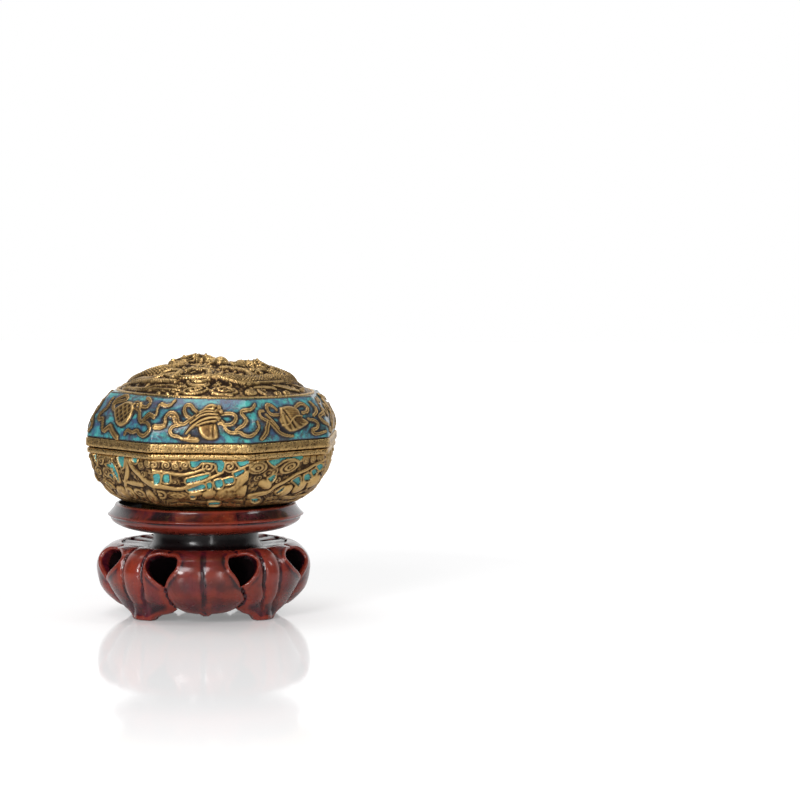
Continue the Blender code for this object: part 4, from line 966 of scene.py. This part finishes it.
LEFT_SIDE = (
    (((46, 174, 66, 145, 94, 125, 120, 106, 156, 92), (1.9, 2.4, 2.8), 1.05, 1, 0.2),
     ((36, 174, 34, 130, 6, 94, -10, 74), (1.8, 2.2, 1.6), 0.95, 1, 0.25),
     ((-6, 94, 44, 90, 90, 88), (1.2, 2.2, 2.0), 0.9, 1, 0.2),
     ((-150, 34, -90, 20, -20, 22, 60, 16, 140, 20), 1.4, *WAVE)),
    ((11.2, 15.4, 1.9, 0.2, 1), (12.0, 12.6, 1.9, 0.2, 1), (14.6, 16.4, 1.9, 0.2, 1),
     (-10.0, 15.6, 2.3, 0.0, -1), (-5.0, 16.4, 2.3, 0.0, -1), (-12.6, 12.0, 2.3, 0.0, -1)),
    ((-5.4, 5.0, 4.2, 2.6, 0.2, 1.3), (-0.2, 5.4, 3.0, 2.6, 0.2, 1.4), (11.4, 4.4, 3.4, 3.0, 0.4, 1.7)),
    (((-8.6, 11.8), (2.4, 2.2), 0.7, 0.3, 0.4, 1.4, 0, 0.3, 0.0, 0.5),
     ((5.6, 5.6), (4.6, 2.2), 0.9, -0.1, 0.4, 1.8, 0, 0.3, 0.0, 0.3)),
    ((-13, 175, 23, 176, 20, 149, 4, 141), (-52, 154, -34, 146, -24, 116, -34, 89, -45, 118),
     (-78, 144, -54, 146, -56, 133), (-77, 109, -56, 114, -59, 98), (-120, 89, -96, 74, -90, 66, -116, 78),
     (66, 175, 88, 176, 92, 166, 78, 160), (-136, 172, -124, 173, -126, 146)))
SIDES = (FRONT_SIDE, RIGHT_SIDE, LEFT_SIDE, RIGHT_SIDE, FRONT_SIDE, RIGHT_SIDE, LEFT_SIDE, LEFT_SIDE)


def carve_side(relief, face):
    """Carves one face of the box, with a rough ground. Returns how far inside an enamel cell each place is."""
    strokes, spirals, lobes, bosses, cells = SIDES[face]
    for stroke in strokes:
        relief.stroke(*stroke)
    for x, y, size, turn, curl in spirals:
        relief.boss((x, y), (size, 0.9 * size), 0.95, turn, 0.4, 2.2, curl, 0.5, dull=0.8)
    for x, y, wide, tall, turn, cuts in lobes:
        relief.boss((x, y), (wide, tall), 1.05, turn, 0.42, cuts, depth=0.16)
    for boss in bosses:
        relief.boss(*boss)
    x, y = relief.x, relief.y
    fold = 0.5 + 0.5 * np.cos(2 * math.pi * (noise(x, y, 3.2, face) * 7.0 + 0.5 * y))
    ground = 0.22 + 0.30 * fold * noise(x, y, 1.9, face + 3) + 0.22 * (noise(x, y, 1.1, face) - 0.5)
    relief.raise_to(slice(None), ground, 0.42)
    relief.height += 0.12 * (noise(x, y, 0.7, 3) - 0.5) + 0.06 * (noise(x, y, 0.35, 5) - 0.5)
    return np.max([relief.cell(cell, -0.12, 0.16) for cell in cells], axis=0)


def make_base_side():
    columns, rows = SIDE_COLUMNS, int(98 * FINE)
    share = np.sin(np.linspace(math.pi / 2, 0.0, rows))
    depth = BASE_RIM_FOOT - UNDERSIDE
    up = (1 - share) * depth
    radius = BASE_FLOOR_RADIUS + (BASE_RADIUS - BASE_FLOOR_RADIUS) * (1 - share**2) ** (1 / 1.7)
    points = rings(radius, UNDERSIDE + up, columns, blunt=SIDE_CORNER)
    along = np.tile(face_coordinates(columns), rows)
    height_at = np.repeat(up, columns)
    height, dull, enamel = on_faces(along, height_at, carve_side)
    height = height.reshape(rows, columns) * np.clip(up / 1.6, 0, 1)[:, None]
    height[-1] = 0.0
    # A ring just inside each cell's wire, given to the edge value, which paints shade there.
    rim = step(enamel, 0.05, 0.5) - step(enamel, 0.5, 0.98)
    # The gold's cavity, for darker hollows (grime and painted shade) and lighter ridges (rubbed gilding and painted
    # highlight).
    sunk = cavity(height, (24.0 / rows, AROUND / columns), 1.2, 0.33) * (1 - enamel.reshape(rows, columns))
    values = {"enamel": step(enamel, 0.35, 0.65), "edge": 0.55 * rim, "dull": dull, "cavity": sunk}
    ring_piece("base_side", pushed(points, height), BASE_ENAMEL, "box_base", values)


def make_base_trim():
    foot, top, wide, bore = BASE_RIM_FOOT, BASE_RIM_TOP, BASE_RIM_RADIUS, BORE_RADIUS
    radius = [BASE_RADIUS - 0.8, wide - 0.6, wide - 0.15, wide, wide, wide - 0.12, wide - 0.45, wide - 1.0]
    radius += [bore - 0.3, bore - 0.3, bore - 0.5, bore - 2.1, FLANGE_BORE, FLANGE_BORE]
    height = [foot, foot + 0.05, foot + 0.3, foot + 0.7, top - 0.5, top - 0.2, top - 0.03, top, top, top + 2.2]
    height += [top + 2.6, top + 2.6, top + 2.4, foot + 1.0]
    dented_rim("base_rim", radius, height, range(1, 7), 2, "box_base")

    share = np.sin(np.linspace(0.0, math.pi / 2, 20))
    floor, floor_radius, bowl_radius = UNDERSIDE + 2.6, 23.0, 39.9
    bowl = floor_radius + (bowl_radius - floor_radius) * (1 - share**2) ** (1 / 1.7)
    radius = [FLANGE_BORE, *np.minimum(FLANGE_BORE, bowl), 0.4]
    height = [foot + 1.0, *(foot - share * (foot - floor)), floor]
    ring_piece("base_inside", rings(radius, height, PLAIN_COLUMNS), GILT, "box_base")

    outer, inner, bottom = 25.2, 22.0, 36.0
    radius = [0.4, inner, inner, inner + 0.3, outer - 0.3, outer, outer, BASE_FLOOR_RADIUS]
    height = [UNDERSIDE, UNDERSIDE, bottom + 0.3, bottom, bottom, bottom + 0.3, UNDERSIDE, UNDERSIDE]
    ring_piece("base_underside", rings(radius, height, PLAIN_COLUMNS), GILT, "box_base")


# Stand: a turned dish and neck, and a pierced body from a field of distances

def to_stand(points):
    cos, sin = math.cos(STAND_TURN), math.sin(STAND_TURN)
    x, y = points[..., 0], points[..., 1]
    return np.stack([x * cos - y * sin + STAND_SHIFT * MM, x * sin + y * cos, points[..., 2]], axis=-1)


def make_dish():
    profile = [(0.5, 35.7), (29.0, 35.7), (29.4, 36.0), (29.4, 37.6), (29.6, 37.92), (30.0, LIP_HEIGHT)]
    profile += [(30.4, 37.97), (30.75, 37.75)]
    for share in np.linspace(0.08, 0.97, 12):
        profile.append((30.8 + 2.7 * share**1.6, LIP_HEIGHT - 3.9 * share))
    profile += [(33.5, 34.05), (33.38, 33.88), (33.0, 33.68), (32.72, 33.5), (32.6, 33.3), (32.5, 33.1)]
    for turn in np.linspace(0.10, math.pi / 2, 16):
        out, down = math.cos(turn), 1 - math.sin(turn)
        profile.append((NECK_RADIUS + (DISH_RADIUS - NECK_RADIUS) * out, NECK_TOP + (DISH_FOOT - NECK_TOP) * down))
    for share in np.linspace(0.06, 1.0, 14):
        profile.append((NECK_RADIUS + 1.9 * share**4, NECK_TOP - 5.8 * share))
    profile += [(19.4, 22.3), (18.0, 21.4), (0.5, 21.4)]
    radius, height = np.array(profile).T
    columns = int(360 * FINE)
    points = rings(radius, height, columns, 1.0)
    angle = column_angles(columns)
    wobble = 0.05 * np.sin(3 * angle + 0.7) + 0.03 * np.sin(7 * angle)
    points[..., 2] -= MM * 0.03 * (1 + np.sin(3 * angle + 0.7)) * (radius > 20)[:, None]
    reach = -np.abs(wobble) * MM * (radius > 20)[:, None]
    points[..., 0] += reach * np.cos(angle)
    points[..., 1] += reach * np.sin(angle)
    # Deep is 1 on the dish's recess floor and inner wall, painting them near black and matt: painted shade. It also
    # darkens the neck and the dish's underside beside it to near black.
    deep = step(radius, 23.0, 19.4) * step(height, 30.5, 28.8) * (height > 21)
    deep = np.where(np.arange(len(radius)) < 5, 1.0, 0.84 * deep)[:, None]
    # The dish darker towards its back left, with noise.
    darker_to_back_left = 0.26 - 0.14 * np.cos(angle + 0.9) + 0.10 * (noise(9 * np.cos(angle), 9 * np.sin(angle), 4.0) - 0.5)
    deep = np.maximum(deep, darker_to_back_left)[::-1]
    ring_piece("stand_dish", to_stand(points)[::-1], WOOD, "stand", {"deep": deep})


def soft_max(a, b, reach):
    return np.maximum(a, b) + np.maximum(reach - np.abs(a - b), 0.0) ** 2 / (4 * reach)


# Where parts of the carved body stand round it, in degrees, at heights of 13, 8 and 0 millimetres: first the
# places as carved by hand, then the places in an even pattern of four lobes
BODY_PLACES = (
    ((-180, -135, -100, -80, -67, -53.2, -51.2, -37.2, -35.5, -27.8, -2.4, 22.3, 32.7, 44.3, 64.3, 95, 135, 180),
     (-180, -135, -90, -74, -64.3, -54, -50, -40, -34.5, -25.7, 0, 25.7, 40, 50, 64.3, 90, 135, 180)),
    ((-180, -135, -93, -52.5, -40.5, -23.5, -2, 24, 36, 46, 93, 135, 180),
     (-180, -135, -90, -50, -40, -22.5, 0, 22.5, 40, 50, 90, 135, 180)),
    ((-180, -135, -90, -49, -24, -1, 24, 42.5, 90, 135, 180),
     (-180, -135, -90, -45, -22.5, 0, 22.5, 45, 90, 135, 180)),
)
HEM = (0, 13, 22, 16, 40, 27, 77, 29, 130, 33, 165, 38, 179, 43, 200, 36, 230, 29, 260, 26, 300, 22, 340, 12, 375, -6,
       460, -6)
HOLE = (16, 34, -8, 36, -33, 35, -52, 29, -64, 17, -68, 4, -68, -9, -63, -22, -47, -38, -31, -53, -18, -65, -2, -61,
        20, -48, 38, -34, 50, -17, 54, -6, 55, 6, 48, 17, 35, 26)


def even_place(angle, z):
    """The place in the even pattern, in radians from a lobe's middle to a leg's middle."""
    degrees = np.degrees(np.mod(angle + 1.5 * math.pi, 2 * math.pi) - math.pi)
    high, low, ground = (np.interp(degrees, carved, even) for carved, even in BODY_PLACES)
    share, foot = np.clip((z - 8) / 5, 0, 1), np.clip(1 - z / 8, 0, 1)
    place = np.radians(low + (high - low) * share + (ground - low) * foot)
    return np.abs(np.mod(place + LEG_MIDDLE, 2 * LEG_MIDDLE) - LEG_MIDDLE)


def scallop(local, start, end, first, last):
    """Depth under a rounded petal between two creases, where it is first and last deep."""
    place = np.clip(2 * (local - start) / (end - start) - 1, -1.0, 1.0)
    return (first + (last - first) * (place > 0)) * (1.0 - np.sqrt(1.0 - place**2 * 0.985)) / (1.0 - math.sqrt(0.015))


def from_table(grid, low, spacing, x, y):
    """Values of a square grid at places x and y, with straight lines between its points."""
    last = len(grid) - 1.001
    u, v = np.clip((x - low) / spacing, 0, last), np.clip((y - low) / spacing, 0, last)
    i, j = u.astype(int), v.astype(int)
    s, t = u - i, v - j
    first = grid[i, j] * (1 - s) + grid[i + 1, j] * s
    return first * (1 - t) + (grid[i, j + 1] * (1 - s) + grid[i + 1, j + 1] * s) * t


def hole_table():
    """How far outside the hole's outline each place of a square grid is, with the grid's low end and spacing."""
    low, spacing = -14.0, 0.2
    axis = np.arange(low, -low, spacing)
    side, rise = np.meshgrid(axis, axis, indexing="ij")
    table = Relief(side.ravel(), rise.ravel())
    _, inside = table.inside_of(HOLE, 30.0)
    return -inside.reshape(side.shape), low, spacing


def stand_field(x, y, z):
    """Signed distance to the body, less than 0 inside, in millimetres."""
    x = np.where(x > 0, x * (1 + 0.035 * np.clip(x / 30, 0, 1)), x * (1 - 0.008))
    r = np.hypot(x, y)
    local = even_place(np.arctan2(y, x), z)
    # Creases between the lobes, the wings beside them and the legs
    lobe_half = np.radians(np.interp(z, (3.4, 4.0, 5.7, 7.9, 9.0), (17.0, 17.9, 20.5, 22.4, 22.7)))
    in_lobe = step(local, lobe_half + 0.02, lobe_half - 0.02)
    petal = scallop(local, 0.0, lobe_half, 0.75, 3.0)
    wing = scallop(local, lobe_half, RIB_ANGLE, 1.6, 1.7)
    leg = scallop(local, RIB_ANGLE, 2 * LEG_MIDDLE - RIB_ANGLE, 1.5, 1.5) - 0.3
    cut = np.where(local < lobe_half, petal, np.where(local < RIB_ANGLE, wing, leg))
    # The outside: sloping below the widest height, rounded above it and nearly flat on the shoulder
    on_leg = np.clip((local - LOBE_HALF) / (LEG_MIDDLE - LOBE_HALF), 0.0, 1.0)
    below = np.clip((WIDEST_HEIGHT - z) / WIDEST_HEIGHT, 0.0, 1.0)
    bulge = 0.8 * in_lobe * np.exp(-(((z - 8.5) / 4.5) ** 2)) * step(z, WIDEST_HEIGHT + 1.0, 9.0)
    low_radius = BODY_RADIUS - (BODY_RADIUS - HEM_RADIUS) * below**2 - cut + bulge
    foot = np.clip(1.0 - z / FOOT_HEIGHT, 0.0, 1.0) * on_leg
    low_radius = low_radius + (np.maximum(low_radius, FOOT_RADIUS) - low_radius) * np.sqrt(foot)
    u = np.maximum(r + cut - SHOULDER_RADIUS, 0.0) / (BODY_RADIUS - SHOULDER_RADIUS)
    v = (z - WIDEST_HEIGHT) / (SHOULDER_HEIGHT - WIDEST_HEIGHT)
    upper = (np.hypot(u, v) - 1.0) * 8.0
    share = np.clip((r - NECK_SEAT_RADIUS) / (SHOULDER_RADIUS - NECK_SEAT_RADIUS), 0.0, 1.0)
    fold = step(local, RIB_ANGLE - 0.02, RIB_ANGLE + 0.06) + 0.6 * step(local, 0.35, 0.45)
    plate = z - (22.8 + 1.6 * np.sqrt(share) - 0.7 * cut * share - 0.45 * (1 - fold / 1.6) * np.sqrt(share))
    outer = np.where(z > WIDEST_HEIGHT, np.where(r < SHOULDER_RADIUS, plate, upper), (r - low_radius) * 0.9)

    # The hollow under the body, the hem and the floor
    raised = z + 2.4
    under = np.clip((WIDEST_HEIGHT - raised) / WIDEST_HEIGHT, 0.0, 1.0)
    inner_radius = BODY_RADIUS - (BODY_RADIUS - HEM_RADIUS) * under**2 - BODY_WALL - 0.5 * cut
    inner_radius = inner_radius + (np.maximum(inner_radius, HOLLOW_FOOT_RADIUS) - inner_radius) * foot
    solid = soft_max(outer, -np.maximum(r - inner_radius, z - HOLLOW_TOP), 0.8)
    hem = np.interp(np.degrees(local), *places(HEM).T)
    solid = soft_max(solid, 0.85 * (hem - z), 1.2)
    solid = soft_max(solid, -z, 0.9 * on_leg + 0.1)

    # The pierced holes, leaning out, each with a raised lip
    px, py = r * np.cos(local), r * np.sin(local)
    out = px * math.cos(HOLE_ANGLE) + py * math.sin(HOLE_ANGLE) - (BODY_RADIUS - 2.6)
    side = py * math.cos(HOLE_ANGLE) - px * math.sin(HOLE_ANGLE)
    rise = (z - HOLE_HEIGHT) * math.cos(HOLE_TILT) - out * math.sin(HOLE_TILT)
    hole = from_table(*hole_table(), side, rise) + 0.05 * np.clip(-out, 0, 20)
    lip = 0.35 * np.exp(-(((hole - 0.7) / 0.5) ** 2)) * (out > -6)
    hole = soft_max(hole, -(out + HOLE_DEPTH), 2.0)
    return soft_max(solid - lip, -hole, 0.6)


def surface_net(field, spacing, origin):
    """Quads over the zero level of a grid of values, with each point at the mean of its cell's crossings."""
    inside = field < 0
    shape = np.array(field.shape) - 1
    corners = [(i, j, k) for i in (0, 1) for j in (0, 1) for k in (0, 1)]
    count = sum(inside[i:shape[0] + i, j:shape[1] + j, k:shape[2] + k].astype(np.int8) for i, j, k in corners)
    mixed = (count > 0) & (count < 8)
    number = np.full(mixed.shape, -1, np.int64)
    number[mixed] = np.arange(mixed.sum())
    cells = np.argwhere(mixed)
    total, hits = np.zeros((len(cells), 3)), np.zeros(len(cells))
    for axis in range(3):
        for start in corners:
            if start[axis]:
                continue
            a = cells + start
            b = a.copy()
            b[:, axis] += 1
            first, second = field[tuple(a.T)], field[tuple(b.T)]
            crossed = (first < 0) != (second < 0)
            place = np.array(start, float) + np.zeros((len(cells), 3))
            place[:, axis] = first / np.where(crossed, first - second, 1.0)
            total[crossed] += place[crossed]
            hits[crossed] += 1
    vertices = origin + (cells + total / hits[:, None]) * spacing
    quads = []
    for axis in range(3):
        one, two = (axis + 1) % 3, (axis + 2) % 3
        ahead = np.roll(inside, -1, axis=axis)
        changed = inside != ahead
        for side in range(3):
            blank = [slice(None)] * 3
            blank[side] = slice(0, 1) if side != axis else slice(-1, None)
            changed[tuple(blank)] = False
        edge = np.argwhere(changed)
        ring = []
        for back_one, back_two in ((0, 0), (1, 0), (1, 1), (0, 1)):
            cell = edge.copy()
            cell[:, one] -= back_one
            cell[:, two] -= back_two
            ring.append(number[tuple(np.minimum(cell, shape - 1).T)])
        ring = np.stack(ring, axis=-1)
        outward = inside[tuple(edge.T)]
        quads.append(np.where(outward[:, None], ring, ring[:, ::-1]))
    return vertices, np.concatenate(quads)


def make_body():
    spacing = 0.495 / FINE
    axis = np.arange(-38.4, 38.4 + spacing, spacing)
    up = np.arange(-0.9, 25.6, spacing)
    x, y, z = np.meshgrid(axis, axis, up, indexing="ij")
    vertices, quads = surface_net(stand_field(x, y, z), spacing, np.array([axis[0], axis[0], up[0]]))
    vertices[:, 2] = np.maximum(vertices[:, 2], 0.0)
    r, height = np.hypot(vertices[:, 0], vertices[:, 1]), vertices[:, 2]
    above = np.clip((height - WIDEST_HEIGHT) / 8.0, 0.0, 1.0)
    below = np.clip((WIDEST_HEIGHT - height) / WIDEST_HEIGHT, 0.0, 1.0)
    skin = np.where(height > WIDEST_HEIGHT, SHOULDER_RADIUS + 8.5 * np.sqrt(1 - above**2),
                    BODY_RADIUS - (BODY_RADIUS - HEM_RADIUS) * below**2)
    # Deep paints the pockets near black and matt, which is painted shade, and darkens the top beside the neck to near
    # black.
    pockets = step(skin - r, 2.4, 5.0) * step(height, 22.6, 21.0)
    near_neck = step(r, 25.5, 20.5) * step(height, 21.5, 22.6)
    deep = np.maximum(pockets, 0.84 * near_neck)
    add_mesh("stand_body", to_stand(vertices * MM), quads, WOOD, "stand", {"deep": deep})


make_band()
make_dome()
make_lid_trim()
make_base_side()
make_base_trim()
make_dish()
make_body()


# Camera at the photograph's angle. Pixel places are those of the stand's middle on the floor.

PICTURE = 800.0
SENSOR = 36.0
PITCH = math.radians(4.6)
YAW = math.radians(3.3)
FOCAL_PIXELS = 3990.0
DISTANCE = 1.3674
FLOOR_PIXEL = (206.2, 611.8)


def make_camera():
    data = bpy.data.cameras.new("camera")
    data.sensor_width = SENSOR
    data.lens = FOCAL_PIXELS / PICTURE * SENSOR
    data.clip_end = 10.0
    camera = bpy.data.objects.new("camera", data)
    bpy.context.scene.collection.objects.link(camera)
    camera.rotation_euler = (math.pi / 2 - PITCH, 0.0, YAW)
    turned = Euler(camera.rotation_euler).to_matrix()
    right, up, ahead = turned @ Vector((1, 0, 0)), turned @ Vector((0, 1, 0)), turned @ Vector((0, 0, -1))
    middle = Vector((STAND_SHIFT * MM, 0.0, 0.0))
    across, down = FLOOR_PIXEL[0] - PICTURE / 2, FLOOR_PIXEL[1] - PICTURE / 2
    sight = right * across - up * down + ahead * FOCAL_PIXELS
    camera.location = middle - sight * (DISTANCE / FOCAL_PIXELS)
    bpy.context.scene.camera = camera


LIT = Vector((0.0, 0.0, 0.045))


def area_light(name, place, energy, size, colour=(1.0, 1.0, 1.0)):
    data = bpy.data.lights.new(name, "AREA")
    data.shape = "RECTANGLE"
    data.size, data.size_y = size
    data.energy = energy
    data.color = colour
    light = bpy.data.objects.new(name, data)
    bpy.context.scene.collection.objects.link(light)
    light.location = place
    light.rotation_euler = (LIT - Vector(place)).to_track_quat("-Z", "Y").to_euler()


def make_world():
    """A white studio, darker at its sides. The backdrop itself looks white from any side."""
    world = bpy.data.worlds.new("studio")
    bpy.context.scene.world = world
    world.use_nodes = True
    tree = world.node_tree
    direction = put(tree, "ShaderNodeTexCoord", {}, "Generated")
    place = put(tree, "ShaderNodeSeparateXYZ", {"Vector": direction}).node.outputs
    room = between(tree, place["X"], -1.0, 1.0, 0.05, 0.15)
    for axis, low, high, light in (("Y", -0.60, -0.95, 0.26), ("Z", 0.45, 0.85, 0.18), ("Y", 0.20, 0.70, 0.92)):
        room = mean(tree, between(tree, place[axis], low, high), room, light)
    strength = mean(tree, put(tree, "ShaderNodeLightPath", {}, "Is Camera Ray"), room, 1.0)
    connect(tree.nodes["Background"], {"Strength": strength, "Color": (1.0, 1.0, 1.0)})


def make_studio():
    mesh = bpy.data.meshes.new("floor")
    left, right, front, back = -0.42, 0.80, -1.20, 1.40
    mesh.from_pydata([(left, front, 0), (right, front, 0), (right, back, 0), (left, back, 0)], [], [(0, 1, 2, 3)])
    material, tree, shader = new_material("floor_white")
    away = put(tree, "ShaderNodeVectorMath", {"Vector": object_place(tree)}, "Value", operation="LENGTH")
    glow = between(tree, away, 0.18, 0.60, 0.23, 0.80)
    seen = put(tree, "ShaderNodeLightPath", {}, "Is Camera Ray")
    connect(shader, {
        "Base Color": blend(tree, cloudy(tree, 3.0, 2.0), (0.88, 0.88, 0.885), (0.91, 0.91, 0.91)),
        "Roughness": 0.06,
        "IOR": 1.18,
        "Emission Color": (1.0, 1.0, 1.0),
        "Emission Strength": sums(tree, "MULTIPLY", seen, glow)})
    mesh.materials.append(material)
    floor = bpy.data.objects.new("floor", mesh)
    bpy.context.scene.collection.objects.link(floor)
    floor.location = (0.0, 0.0, -0.0001)
    make_world()
    area_light("key", (-0.32, -1.02, 0.66), 4.2, (0.42, 0.40), (1.0, 0.98, 1.0))
    area_light("low_left", (-0.47, -1.10, 0.31), 3.7, (0.22, 0.26))
    area_light("low_right", (0.37, -1.14, 0.20), 1.0, (0.12, 0.40))
    area_light("right", (1.0, -0.24, 0.85), 1.7, (0.26, 0.36))
    area_light("top", (-0.35, 0.15, 2.4), 16.0, (1.4, 1.2))


bpy.context.scene.view_settings.view_transform = "Standard"
make_camera()
make_studio()
